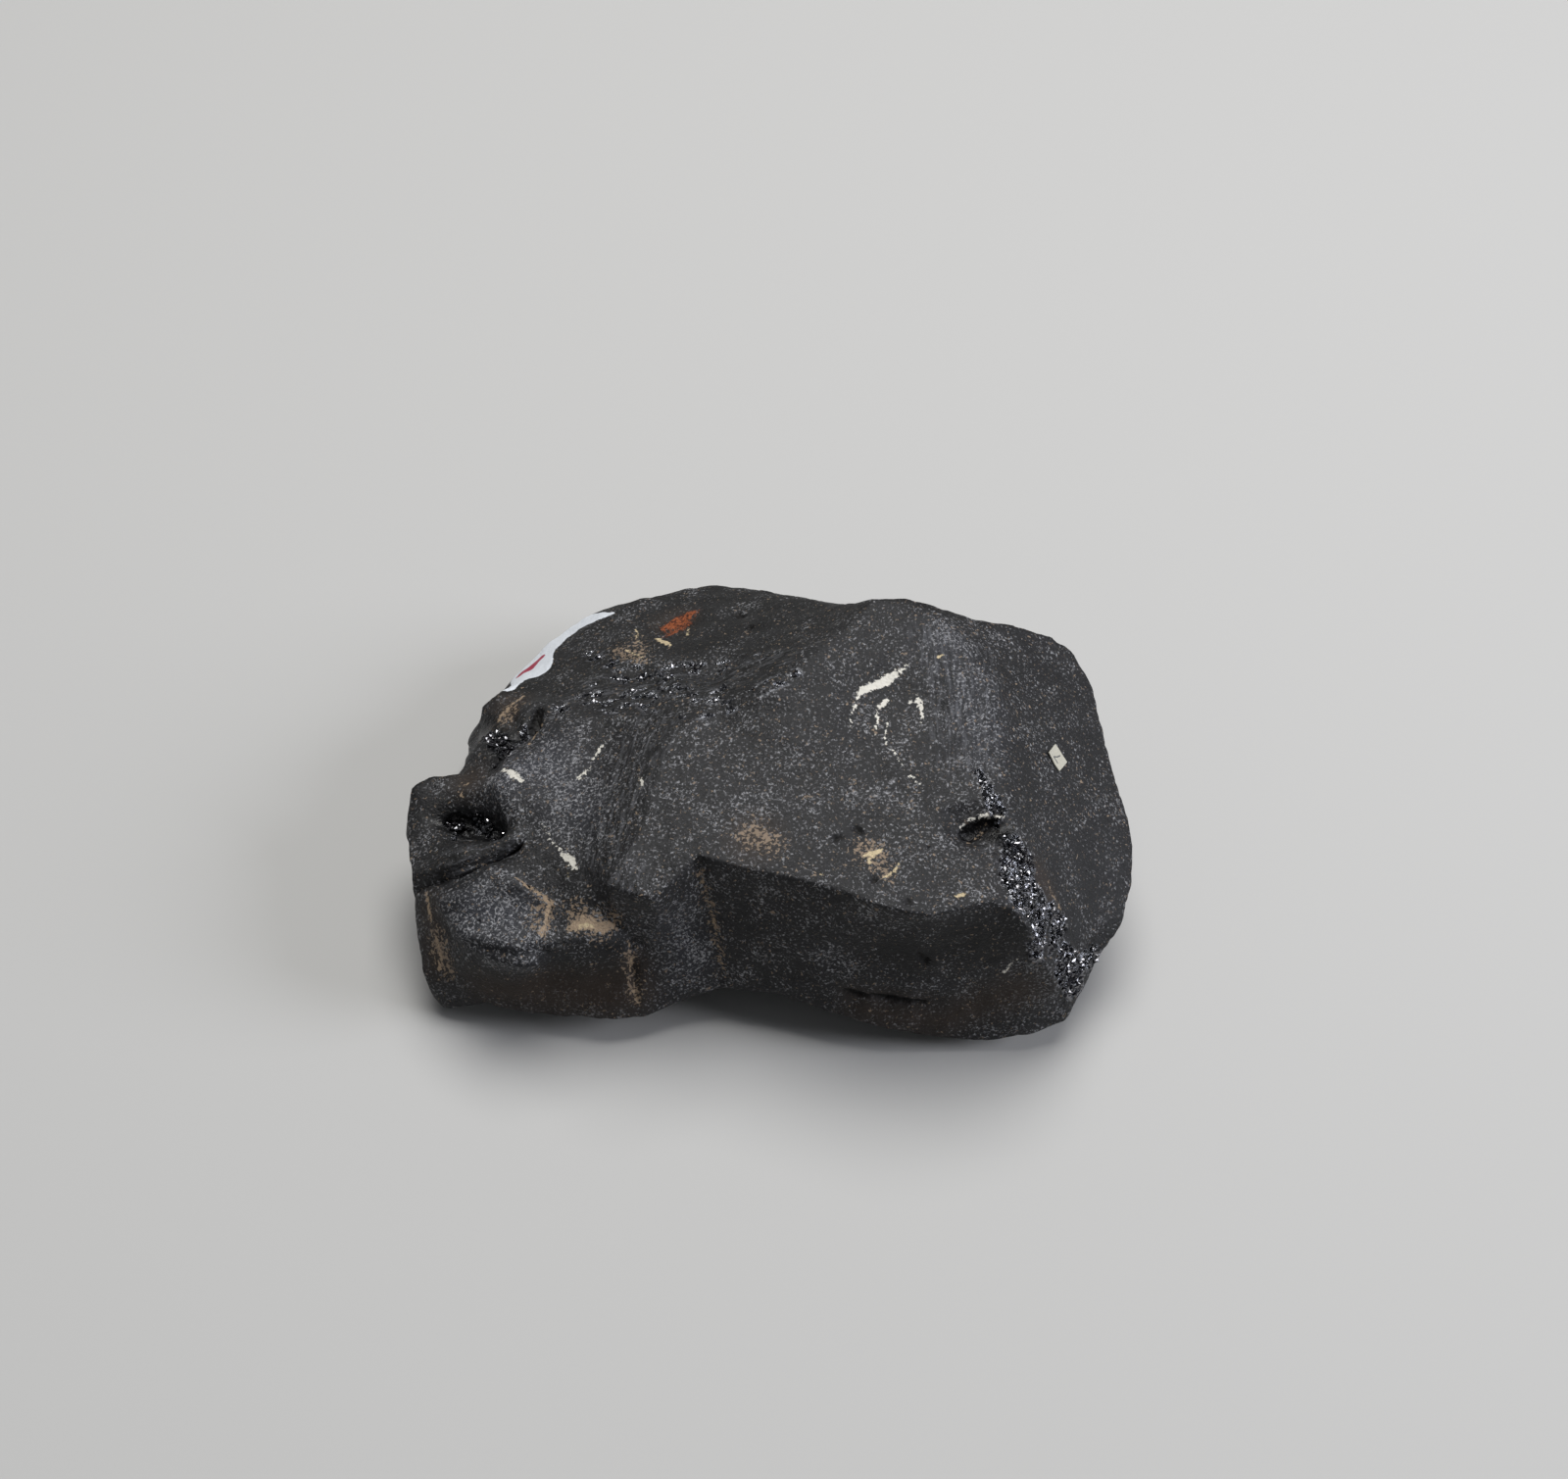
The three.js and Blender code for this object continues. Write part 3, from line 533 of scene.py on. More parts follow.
CREAM = [
    [(588, 948, 0.05), (598, 943, 0.25), (608, 946, 0.1)],
    [(671, 652, 0.3), (677, 655, 0.38), (683, 658, 0.25)],
    [(703, 641, 0.12), (701, 648, 0.12)],
    [(649, 642, 0.12), (651, 655, 0.1)],
    [(640, 664, 0.14), (655, 671, 0.12)],
    [(881, 874, 0.15), (888, 871, 0.35), (895, 870, 0.3), (901, 866, 0.08)],
    [(889, 876, 0.25), (886, 883, 0.05)],
    [(917, 881, 0.05), (914, 888, 0.18), (908, 893, 0.14), (899, 897, 0.03)],
    [(976, 914, 0.12), (984, 912, 0.16)],
    [(838, 893, 0.14)],
    [(955, 671, 0.12), (962, 668, 0.14)],
    [(580, 893, 0.16), (577, 898, 0.05)],
]
CLAY = [
    [(435, 912, 0.2), (438, 925, 0.3), (442, 940, 0.12)],
    [(446, 955, 0.15), (450, 972, 0.25), (449, 990, 0.15)],
    [(527, 897, 0.05), (543, 908, 0.12), (558, 917, 0.18), (564, 924, 0.28)],
    [(564, 924, 0.28), (561, 938, 0.26), (554, 960, 0.12)],
    [(582, 948, 0.3), (597, 941, 0.7), (615, 946, 0.5), (628, 942, 0.2)],
    [(643, 963, 0.1), (646, 982, 0.3), (644, 992, 0.1)],
    [(648, 1012, 0.15), (651, 1022, 0.3)],
    [(533, 711, 0.1), (520, 722, 0.25), (508, 735, 0.15)],
    [(552, 735, 0.1), (545, 750, 0.12), (540, 760, 0.05)],
    [(478, 798, 0.1), (470, 812, 0.12)],
    [(1007, 837, 0.04), (997, 850, 0.08), (987, 860, 0.05)],
    [(1070, 900, 0.04), (1073, 913, 0.1), (1082, 927, 0.05)],
    [(718, 900, -0.05), (728, 945, 0.08), (738, 992, -0.02)],
]
# zones dusted with clay-coloured specks
DUSTED = [
    [(22, 16, 14, 1.8), (18, 18, 12, 1.4)],
    [(-6, 18, 12, 1.4), (-2, 19, 11, 1.0)],
    [(37, 0, 12, 1.2)],
    [(630, 663, 1.1), (645, 668, 1.3), (656, 674, 1.0), (649, 650, 0.6)],
    [(556, 925, 1.2), (550, 945, 1.0)],
    [(590, 930, 1.4), (610, 945, 1.6), (628, 932, 1.0)],
    [(448, 960, 1.6), (456, 990, 1.2)],
    [(772, 852, 2.0), (790, 862, 1.2)],
    [(885, 868, 1.8), (905, 890, 1.2)],
    [(642, 975, 0.9), (650, 1015, 0.9)],
    [(715, 888, 0.4), (726, 935, 0.6), (738, 995, 0.4)],
    [(525, 725, 1.0), (505, 742, 1.0)],
]
# zones where the frosting is thickest, which also carry a painted bluish sheen of the overhead light
FROSTED_AND_SHEEN = [
    [(520, 790, 3.2), (560, 770, 3.4), (590, 830, 3.0)],
    [(485, 925, 3.2), (520, 935, 3.6)],
    [(955, 650, 1.6), (985, 700, 2.4), (1000, 760, 2.0)],
    [(690, 935, 2.2), (702, 985, 2.0)],
    [(840, 975, 0.5)],
]
# zones where the skin is bare and dark, with little frosting; on the front wall's foot, the underside and
# the groove the dark is painted shade as well
BARE_AND_SHADED = [
    [(560, 700, 2.0), (640, 700, 2.0), (720, 700, 1.6)],
    [(940, 970, 4.0), (1010, 960, 4.0)],
    [(500, 1000, 2.0), (560, 1000, 2.0), (620, 990, 2.0)],
    [(450, 880, 2.0), (500, 880, 1.6), (450, 830, 1.5)],
    [(500, 750, 2.5), (540, 730, 1.5)],
]
# zones with a warm brown cast: brown earth on the stone, and on the low faces near the floor a painted
# warm glow of light bounced up from below
EARTHY_AND_BOUNCE = [
    [(500, 1008, 2.4), (570, 1012, 3.2), (640, 1010, 2.8)],
    [(440, 930, 1.2), (448, 980, 1.6)],
    [(480, 795, 1.6)],
    [(520, 722, 1.8)],
    [(1060, 890, 0.8), (1072, 912, 0.8)],
    [(770, 855, 2.2)],
    [(880, 1030, 1.5), (960, 1042, 1.8), (1040, 1010, 2.4)],
    [(870, 1014, 0.6), (940, 1022, 0.6)],
    [(8, 19, 5, 2.0), (-10, 18, 5, 2.4)],
    [(690, 636, 2.0)],
    [(645, 985, 1.6)],
]
PAINT = [
    [(504, 711, 0.5), (517, 698, 1.35), (533, 692, 1.5), (548, 684, 1.8)],
    [(548, 684, 1.8), (556, 668, 1.7), (568, 655, 1.5), (586, 641, 1.4), (606, 632, 1.1), (626, 626, 0.5)],
]
# the paint past the back edge, as balls with x, y, z and radius in millimetres
PAINT_BACK = [(-29.5, 3.5, 8.0, 3.2), (-26.5, 8.0, 8.0, 3.4), (-22.5, 10.8, 10.0, 2.6)]
# how far neighbouring dabs run together
FLOW = 0.9 * MM
PATCH_SHRINK = 0.4 * MM
# the paint and the rust stand this proud of the stone
PAINT_THICKNESS = 0.1 * MM
PAINT_EDGE = 0.3 * MM
RUST_THICKNESS = 0.35 * MM
RUST_EDGE = 0.5 * MM
RUST_LUMP = 0.7 * MM
# the back wall and the right-hand end are painted darker than the top, as shade, in drifts of this size
SLOPE_SHADE_DRIFT = 3.0 * MM
# how wide each zone's border is, in millimetres
ZONE_FADE = 4.0
DUST_FADE = 1.6
FROST_FADE = 6.0
INK = [[(530, 690, 0.55), (542, 682, 0.65), (553, 671, 0.5)]]


def zone(strokes, fade):
    # one inside the strokes, fading to nothing around them
    return np.clip(0.5 - stroke_gap(points, strokes) / (fade * MM), 0, 1)


def flowed(gaps):
    # neighbouring dabs run together into one rounded patch
    return PATCH_SHRINK - FLOW * np.log(sum(np.exp(-gap / FLOW) for gap in gaps))


def keep(name, values):
    # the mesh carries the values, and the material reads them by name
    layer = crystal_mesh.attributes.new(name, "FLOAT", "POINT")
    layer.data.foreach_set("value", np.asarray(values, dtype=np.float32))


paint_gap = flowed(
    [stroke_gap(points, [stroke]) for stroke in PAINT] + [ball_gap(points, [ball]) for ball in PAINT_BACK]
)
rust_gap = flowed([stroke_gap(points, [stroke]) for stroke in RUST])
height += PAINT_THICKNESS * np.clip(0.5 - paint_gap / PAINT_EDGE, 0, 1)
rust_lumpiness = 0.5 + grain(RUST_LUMP, 13)
height += RUST_THICKNESS * np.clip(0.5 - rust_gap / RUST_EDGE, 0, 1) * rust_lumpiness
for name, strokes in (("white", WHITE), ("cream", CREAM), ("clay", CLAY), ("ink", INK)):
    keep(name, stroke_gap(points, strokes) / MM)
keep("paint", paint_gap / MM)
keep("rust", rust_gap / MM)
keep("dusted", zone(DUSTED, DUST_FADE))
keep("frosted_and_sheen", zone(FROSTED_AND_SHEEN, FROST_FADE))
facing = spread(normals, 30)
# painted shade: faces turned to the back, and less so those turned to the right, are darkened like the
# bare zones
back_slope_shade = np.clip((facing[:, 1] - 0.1 + 0.25 * grain(SLOPE_SHADE_DRIFT, 11)) / 0.3, 0, 1)
right_slope_shade = np.clip((facing[:, 0] - 0.3 + 0.2 * grain(SLOPE_SHADE_DRIFT, 12)) / 0.35, 0, 1)
keep("bare_and_shaded", np.maximum(zone(BARE_AND_SHADED, ZONE_FADE), np.maximum(back_slope_shade, 0.6 * right_slope_shade)))
keep("earthy_and_bounce", zone(EARTHY_AND_BOUNCE, ZONE_FADE))
keep("fresh", fresh)
keep("broken", np.maximum(broken, 0.9 * chipped))
keep("glassy", glassy)
keep("combed", combed)
comb_layer = crystal_mesh.attributes.new("comb_place", "FLOAT_VECTOR", "POINT")
comb_layer.data.foreach_set("vector", comb_place.astype(np.float32).ravel())
keep("pit", pit)
points += normals * (height * above_sole)[:, None]
crystal_mesh.vertices.foreach_set("co", points.ravel())
crystal_mesh.update()
first_corner = np.array([polygon.vertices[0] for polygon in crystal_mesh.polygons])
crystal_mesh.polygons.foreach_set("use_smooth", fresh[first_corner] < 0.5)

# Rutile of the crystal
# Black rutile is nearly opaque, with a very high index that gives the broken facets a hard, almost
# metallic glint. Weathering leaves its skin rough and frosted, so the skin is dull charcoal.
# the rough skin scatters light and mirrors little, so its index is far below that of clear rutile
SKIN_IOR = 1.38
SKIN_DULLNESS = 0.62
FACET_DULLNESS = 0.12
GLASS_DULLNESS = 0.24
# a fresh facet's glint is drawn as that of a dark metal
FACET_MIRROR = "#67686c"
SKIN_HOLLOW = "#040405"
SKIN_GRIT = "#1f1f21"
# painted shade: the darkest skin, for the bare places and the shaded ones
BARE_AND_SHADED_SKIN = "#080808"
GREY_HAZE = "#333334"
# painted sheen: the bluish haze of the frosted zones
BLUE_SHEEN = "#4a4d57"
PALE_CURL = "#acacaf"
# painted bounce light and real earth: the warm brown
BROWN_EARTH_AND_BOUNCE = "#33271d"
CLAY_SPECK = "#857462"
# painted shade in the pits
PIT_SHADE = "#0c0a09"
GLASS_BLACK = "#0b0b0c"
# painted shade and painted highlight on the rust
SHADED_RUST = "#33150c"
LIT_RUST = "#9a5430"
# sizes of the patterns, each the real one unless its own comment says otherwise
DRIFT_SIZE = 6 * MM
GRIT_SIZE = 0.2 * MM
CURL_SPACING = 0.4 * MM
CURL_LENGTH = 0.32 * MM
CLUSTER_SIZE = 2.5 * MM
RIB_SPACING = 0.36 * MM
SPECK_SIZE = 0.38 * MM
STAIN_RAG = 0.4 * MM
SPLINTER_SIZE = 0.25 * MM
# sockets of the Mix node for colours: share, colour under, colour over, result
MIX, UNDER, OVER, MIXED = 0, 6, 7, 2
# the same for plain numbers
LEFT, RIGHT = 2, 3
WORN_NAMES = ("bare_and_shaded", "combed", "fresh", "glassy", "pit", "frosted_and_sheen", "dusted", "earthy_and_bounce")
STAIN_NAMES = ("rust", "white", "cream", "clay", "paint", "ink")

rutile = bpy.data.materials.new("weathered_rutile")
rutile.use_nodes = True
tree = rutile.node_tree
where = add(tree, "ShaderNodeTexCoord").outputs["Object"]
worn_by = {
    name: add(tree, "ShaderNodeAttribute", attribute_name=name).outputs["Fac"]
    for name in WORN_NAMES + STAIN_NAMES
}
# drifts of thicker and thinner frosting, 6 mm across
drift = add(
    tree, "ShaderNodeTexNoise", {"Vector": where, "Scale": 1 / DRIFT_SIZE, "Detail": 3.0}
).outputs["Fac"]
# the grit of the skin, a fifth of a millimetre across
grit = add(
    tree,
    "ShaderNodeTexNoise",
    {"Vector": where, "Scale": 1 / GRIT_SIZE, "Detail": 3.0, "Roughness": 0.7},
).outputs["Fac"]
# pale curls, broken into short lengths: the real ones are finer, and these are as coarse as it takes for
# them to show
curl_field = add(
    tree,
    "ShaderNodeTexNoise",
    {"Vector": where, "Scale": 1 / CURL_SPACING, "Detail": 2.0, "Distortion": 0.6},
).outputs["Fac"]
from_line = add(tree, "ShaderNodeMath", {0: curl_field, 1: 0.5}, operation="SUBTRACT").outputs[0]
from_line = add(tree, "ShaderNodeMath", {0: from_line}, operation="ABSOLUTE").outputs[0]
line = add(
    tree,
    "ShaderNodeMapRange",
    {"Value": from_line, "From Min": 0.02, "From Max": 0.09, "To Min": 1.0, "To Max": 0.0},
).outputs[0]
lengths_field = add(
    tree, "ShaderNodeTexNoise", {"Vector": where, "Scale": 1 / CURL_LENGTH, "Detail": 2.0}
).outputs["Fac"]
clusters = add(
    tree, "ShaderNodeTexNoise", {"Vector": where, "Scale": 1 / CLUSTER_SIZE, "Detail": 3.0}
).outputs["Fac"]
# the frost's haze, thickest in the frosted zones, where it also stands for a painted sheen of the overhead
# light
frost_and_sheen = add(
    tree, "ShaderNodeMath", {0: worn_by["frosted_and_sheen"], 1: 0.5, 2: drift}, operation="MULTIPLY_ADD"
).outputs[0]
frost_and_sheen = add(
    tree, "ShaderNodeMath", {0: worn_by["bare_and_shaded"], 1: -0.4, 2: frost_and_sheen}, operation="MULTIPLY_ADD"
).outputs[0]
lengths_kept = add(
    tree, "ShaderNodeMath", {0: frost_and_sheen, 1: 0.2, 2: lengths_field}, operation="MULTIPLY_ADD"
).outputs[0]
lengths_kept = add(
    tree, "ShaderNodeMath", {0: clusters, 1: 0.35, 2: lengths_kept}, operation="MULTIPLY_ADD"
).outputs[0]
lengths_kept = add(
    tree, "ShaderNodeMapRange", {"Value": lengths_kept, "From Min": 0.79, "From Max": 1.0}
).outputs[0]
curls = add(tree, "ShaderNodeMath", {0: line, 1: lengths_kept}, operation="MULTIPLY").outputs[0]

light_grit = add(
    tree, "ShaderNodeMapRange", {"Value": grit, "From Min": 0.35, "From Max": 0.62}
).outputs[0]
skin_colour = add(
    tree,
    "ShaderNodeMix",
    {MIX: light_grit, UNDER: linear(SKIN_HOLLOW), OVER: linear(SKIN_GRIT)},
    data_type="RGBA",
).outputs[MIXED]
# painted shade and bare skin: the bare zones and the slopes painted in shade are darkened
bare_and_shaded_share = add(tree, "ShaderNodeMath", {0: worn_by["bare_and_shaded"], 1: 0.85}, operation="MULTIPLY").outputs[0]
skin_colour = add(
    tree,
    "ShaderNodeMix",
    {MIX: bare_and_shaded_share, UNDER: skin_colour, OVER: linear(BARE_AND_SHADED_SKIN)},
    data_type="RGBA",
).outputs[MIXED]
# painted sheen: in the frosted zones the haze turns bluish, as a reflection of the overhead light
haze_and_sheen_colour = add(
    tree,
    "ShaderNodeMix",
    {MIX: worn_by["frosted_and_sheen"], UNDER: linear(GREY_HAZE), OVER: linear(BLUE_SHEEN)},
    data_type="RGBA",
).outputs[MIXED]
haze_and_sheen = add(tree, "ShaderNodeMath", {0: frost_and_sheen, 1: 0.3}, operation="MULTIPLY").outputs[0]
skin_colour = add(
    tree, "ShaderNodeMix", {MIX: haze_and_sheen, UNDER: skin_colour, OVER: haze_and_sheen_colour}, data_type="RGBA"
).outputs[MIXED]
curl_share = add(tree, "ShaderNodeMath", {0: curls, 1: 0.8}, operation="MULTIPLY").outputs[0]
skin_colour = add(
    tree,
    "ShaderNodeMix",
    {MIX: curl_share, UNDER: skin_colour, OVER: linear(PALE_CURL)},
    data_type="RGBA",
).outputs[MIXED]
# ribs of the combed zones, a third of a millimetre apart, painted pale on their crests as highlight and
# dark between as shade: each tone has the field's values where it starts and ends, its share and its
# colour
RIB_LIGHT_AND_SHADE = ((0.5, 0.68, 0.42, "#717277"), (0.48, 0.34, 0.65, "#060607"))
comb_at = add(tree, "ShaderNodeAttribute", attribute_name="comb_place").outputs["Vector"]
ribs_field = add(
    tree,
    "ShaderNodeTexNoise",
    {"Vector": comb_at, "Scale": 1 / RIB_SPACING, "Detail": 3.0, "Roughness": 0.6},
).outputs["Fac"]
for low, high, share, tone in RIB_LIGHT_AND_SHADE:
    rib = add(
        tree,
        "ShaderNodeMapRange",
        {"Value": ribs_field, "From Min": low, "From Max": high, "To Max": share},
    ).outputs[0]
    rib = add(tree, "ShaderNodeMath", {0: rib, 1: worn_by["combed"]}, operation="MULTIPLY").outputs[0]
    skin_colour = add(
        tree, "ShaderNodeMix", {MIX: rib, UNDER: skin_colour, OVER: linear(tone)}, data_type="RGBA"
    ).outputs[MIXED]
# painted bounce light and real earth: a warm brown in these zones
earth_and_bounce_share = add(
    tree, "ShaderNodeMath", {0: worn_by["earthy_and_bounce"], 1: 0.7}, operation="MULTIPLY"
).outputs[0]
skin_colour = add(
    tree,
    "ShaderNodeMix",
    {MIX: earth_and_bounce_share, UNDER: skin_colour, OVER: linear(BROWN_EARTH_AND_BOUNCE)},
    data_type="RGBA",
).outputs[MIXED]

# clay-coloured specks: a few everywhere, many in the dusted zones
speck_field = add(
    tree,
    "ShaderNodeTexNoise",
    {"Vector": where, "Scale": 1 / SPECK_SIZE, "Detail": 3.0, "Distortion": 0.6},
).outputs["Fac"]
speck_field = add(
    tree, "ShaderNodeMath", {0: worn_by["dusted"], 1: 0.17, 2: speck_field}, operation="MULTIPLY_ADD"
).outputs[0]
specks = add(
    tree, "ShaderNodeMapRange", {"Value": speck_field, "From Min": 0.65, "From Max": 0.71}
).outputs[0]
skin_colour = add(
    tree, "ShaderNodeMix", {MIX: specks, UNDER: skin_colour, OVER: linear(CLAY_SPECK)}, data_type="RGBA"
).outputs[MIXED]

# fresh facets glint almost like metal, the pits are painted near-black as shade in the hollows, and glassy
# hollows are dark
mirror = add(
    tree, "ShaderNodeMapRange", {"Value": worn_by["fresh"], "From Min": 0.3, "From Max": 0.7}
).outputs[0]
skin_colour = add(
    tree,
    "ShaderNodeMix",
    {MIX: mirror, UNDER: skin_colour, OVER: linear(FACET_MIRROR)},
    data_type="RGBA",
).outputs[MIXED]
skin_colour = add(
    tree,
    "ShaderNodeMix",
    {MIX: worn_by["pit"], UNDER: skin_colour, OVER: linear(PIT_SHADE)},
    data_type="RGBA",
).outputs[MIXED]
glass_share = add(
    tree, "ShaderNodeMath", {0: worn_by["glassy"], 1: 0.85}, operation="MULTIPLY"
).outputs[0]
skin_colour = add(
    tree,
    "ShaderNodeMix",
    {MIX: glass_share, UNDER: skin_colour, OVER: linear(GLASS_BLACK)},
    data_type="RGBA",
).outputs[MIXED]
dullness = add(
    tree,
    "ShaderNodeMapRange",
    {
        "Value": worn_by["fresh"],
        "From Min": 0.3,
        "From Max": 0.8,
        "To Min": SKIN_DULLNESS,
        "To Max": FACET_DULLNESS,
    },
).outputs[0]
dullness = add(
    tree, "ShaderNodeMix", {MIX: glass_share, LEFT: dullness, RIGHT: GLASS_DULLNESS}, data_type="FLOAT"
).outputs[0]

# stains with ragged edges, then the paint and its red stroke with clean ones
ragged = add(
    tree,
    "ShaderNodeTexNoise",
    {"Vector": where, "Scale": 1 / STAIN_RAG, "Detail": 4.0, "Roughness": 0.65},
).outputs["Fac"]
ragged = add(tree, "ShaderNodeMath", {0: ragged, 1: 0.5}, operation="SUBTRACT").outputs[0]
# the rust is two-toned: painted highlight on the crests of the fine relief and painted shade in the low
# places between them
rust_lit_share = add(
    tree, "ShaderNodeMapRange", {"Value": curl_field, "From Min": 0.35, "From Max": 0.6}
).outputs[0]
lit_and_shaded_rust = add(
    tree,
    "ShaderNodeMix",
    {MIX: rust_lit_share, UNDER: linear(SHADED_RUST), OVER: linear(LIT_RUST)},
    data_type="RGBA",
).outputs[MIXED]
# powder lies unevenly, so dark grit shows through it
powder = add(
    tree, "ShaderNodeMapRange", {"Value": grit, "From Min": 0.34, "From Max": 0.5, "To Min": 0.4}
).outputs[0]
# each stain's colour, how ragged its edge is and how dull it is; the white strokes include two painted
# highlights
stains = (
    ("rust", lit_and_shaded_rust, 2.8, 0.85),
    ("clay", linear("#a18d76"), 2.0, 0.9),
    ("cream", linear("#cdbb97"), 1.0, 0.85),
    ("white", linear("#dcd8cd"), 1.3, 0.8),
    ("paint", linear("#dde1e6"), 0.35, 0.6),
    ("ink", linear("#a02a45"), 0.15, 0.5),
)
for name, colour, raggedness, stain_dullness in stains:
    edge = add(
        tree, "ShaderNodeMath", {0: ragged, 1: raggedness, 2: worn_by[name]}, operation="MULTIPLY_ADD"
    ).outputs[0]
    cover = add(
        tree,
        "ShaderNodeMapRange",
        {"Value": edge, "From Min": -0.04, "From Max": 0.04, "To Min": 1.0, "To Max": 0.0},
    ).outputs[0]
    if name in ("clay", "cream"):
        cover = add(tree, "ShaderNodeMath", {0: cover, 1: powder}, operation="MULTIPLY").outputs[0]
    skin_colour = add(
        tree, "ShaderNodeMix", {MIX: cover, UNDER: skin_colour, OVER: colour}, data_type="RGBA"
    ).outputs[MIXED]
    dullness = add(
        tree, "ShaderNodeMix", {MIX: cover, LEFT: dullness, RIGHT: stain_dullness}, data_type="FLOAT"
    ).outputs[0]
    mirror = add(
        tree, "ShaderNodeMix", {MIX: cover, LEFT: mirror, RIGHT: 0.0}, data_type="FLOAT"
    ).outputs[0]

# fine relief in millimetres: grit, raised curls, the orange peel between them, the ribs of the combed
# zones, and splinters a quarter of a millimetre across on the broken facets
ribs_height = add(
    tree, "ShaderNodeMath", {0: ribs_field, 1: worn_by["combed"]}, operation="MULTIPLY"
).outputs[0]
splinters = add(
    tree, "ShaderNodeTexVoronoi", {"Vector": where, "Scale": 1 / SPLINTER_SIZE}
).outputs["Distance"]
splinter_height = add(
    tree, "ShaderNodeMath", {0: splinters, 1: mirror}, operation="MULTIPLY"
).outputs[0]
relief = add(tree, "ShaderNodeMath", {0: grit, 1: 0.05}, operation="MULTIPLY").outputs[0]
relief = add(
    tree, "ShaderNodeMath", {0: curls, 1: 0.03, 2: relief}, operation="MULTIPLY_ADD"
).outputs[0]
relief = add(
    tree, "ShaderNodeMath", {0: curl_field, 1: 0.12, 2: relief}, operation="MULTIPLY_ADD"
).outputs[0]
relief = add(
    tree, "ShaderNodeMath", {0: ribs_height, 1: 0.12, 2: relief}, operation="MULTIPLY_ADD"
).outputs[0]
relief = add(
    tree, "ShaderNodeMath", {0: splinter_height, 1: 0.03, 2: relief}, operation="MULTIPLY_ADD"
).outputs[0]
bump = add(
    tree, "ShaderNodeBump", {"Height": relief, "Distance": MM, "Strength": 1.0}
).outputs["Normal"]

shader = tree.nodes["Principled BSDF"]
shader.inputs["IOR"].default_value = SKIN_IOR
tree.links.new(skin_colour, shader.inputs["Base Color"])
tree.links.new(dullness, shader.inputs["Roughness"])
tree.links.new(mirror, shader.inputs["Metallic"])
tree.links.new(bump, shader.inputs["Normal"])
crystal_mesh.materials.clear()
crystal_mesh.materials.append(rutile)
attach(crystal, "root")
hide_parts("rutile_crystal")

# Grains of the broken rutile
# Where the crystal is broken its fracture is granular: angular black grains about half a millimetre
# across, with flat glassy faces, standing half out of the break they grew in.
GRAIN_RADIUS = 0.3 * MM
GRAIN_SPACING = 0.36 * MM
GRAIN_DENSITY = 4.0 / MM**2
GRAIN_KNOCK = 0.09 * MM
GRAIN_LEAST_STRETCH = (0.6, 0.6, 0.5)
GRAIN_MOST_STRETCH = (1.4, 1.3, 1.0)
GRAIN_SEED = 7
BROKEN_FROM = 0.6
FRACTURE_DARK = "#4a4a4e"
FRACTURE_LIGHT = "#8b8a8c"
UNEVEN_SIZE = 0.5 * MM
CHATTER_SIZE = 0.15 * MM
CHATTER_DEPTH = 0.01 * MM

split = bmesh.new()
split.from_mesh(crystal_mesh)
broken_layer = split.verts.layers.float["broken"]
whole = [face for face in split.faces if min(vert[broken_layer] for vert in face.verts) < BROKEN_FROM]
bmesh.ops.delete(split, geom=whole, context="FACES")
break_mesh = bpy.data.meshes.new("break_faces")
split.to_mesh(break_mesh)
split.free()

# cleaved rutile, whose high index gives its flat black faces a hard, almost metallic glint
fracture = bpy.data.materials.new("fractured_rutile")
fracture.use_nodes = True
tree = fracture.node_tree
where = add(tree, "ShaderNodeTexCoord").outputs["Object"]
uneven = add(
    tree, "ShaderNodeTexNoise", {"Vector": where, "Scale": 1 / UNEVEN_SIZE, "Detail": 2.0}
).outputs["Fac"]
fracture_colour = add(
    tree,
    "ShaderNodeMix",
    {MIX: uneven, UNDER: linear(FRACTURE_DARK), OVER: linear(FRACTURE_LIGHT)},
    data_type="RGBA",
).outputs[MIXED]
fracture_dullness = add(
    tree,
    "ShaderNodeMapRange",
    {"Value": uneven, "From Min": 0.3, "From Max": 0.7, "To Min": 0.08, "To Max": 0.26},
).outputs[0]
chatter = add(
    tree, "ShaderNodeTexNoise", {"Vector": where, "Scale": 1 / CHATTER_SIZE, "Detail": 2.0}
).outputs["Fac"]
chatter_bump = add(
    tree, "ShaderNodeBump", {"Height": chatter, "Distance": CHATTER_DEPTH}
).outputs["Normal"]
shader = tree.nodes["Principled BSDF"]
shader.inputs["Metallic"].default_value = 1.0
tree.links.new(fracture_colour, shader.inputs["Base Color"])
tree.links.new(fracture_dullness, shader.inputs["Roughness"])
tree.links.new(chatter_bump, shader.inputs["Normal"])

growth = bpy.data.node_groups.new("grains_on_the_break", "GeometryNodeTree")
growth.interface.new_socket("Break", in_out="INPUT", socket_type="NodeSocketGeometry")
inputs = {
    name: growth.interface.new_socket(name, in_out="INPUT", socket_type=kind)
    for name, kind in (
        ("Grain radius", "NodeSocketFloat"),
        ("Spacing", "NodeSocketFloat"),
        ("Seed", "NodeSocketInt"),
        ("Material", "NodeSocketMaterial"),
    )
}
growth.interface.new_socket("Grains", in_out="OUTPUT", socket_type="NodeSocketGeometry")
given = add(growth, "NodeGroupInput").outputs
scatter = add(
    growth,
    "GeometryNodeDistributePointsOnFaces",
    {
        "Mesh": given["Break"],
        "Distance Min": given["Spacing"],
        "Density Max": GRAIN_DENSITY,
        "Seed": given["Seed"],
    },
    distribute_method="POISSON",
)
ball = add(growth, "GeometryNodeMeshIcoSphere", {"Radius": given["Grain radius"], "Subdivisions": 1})
knock = add(
    growth,
    "FunctionNodeRandomValue",
    {0: (-GRAIN_KNOCK,) * 3, 1: (GRAIN_KNOCK,) * 3, "Seed": given["Seed"]},
    data_type="FLOAT_VECTOR",
)
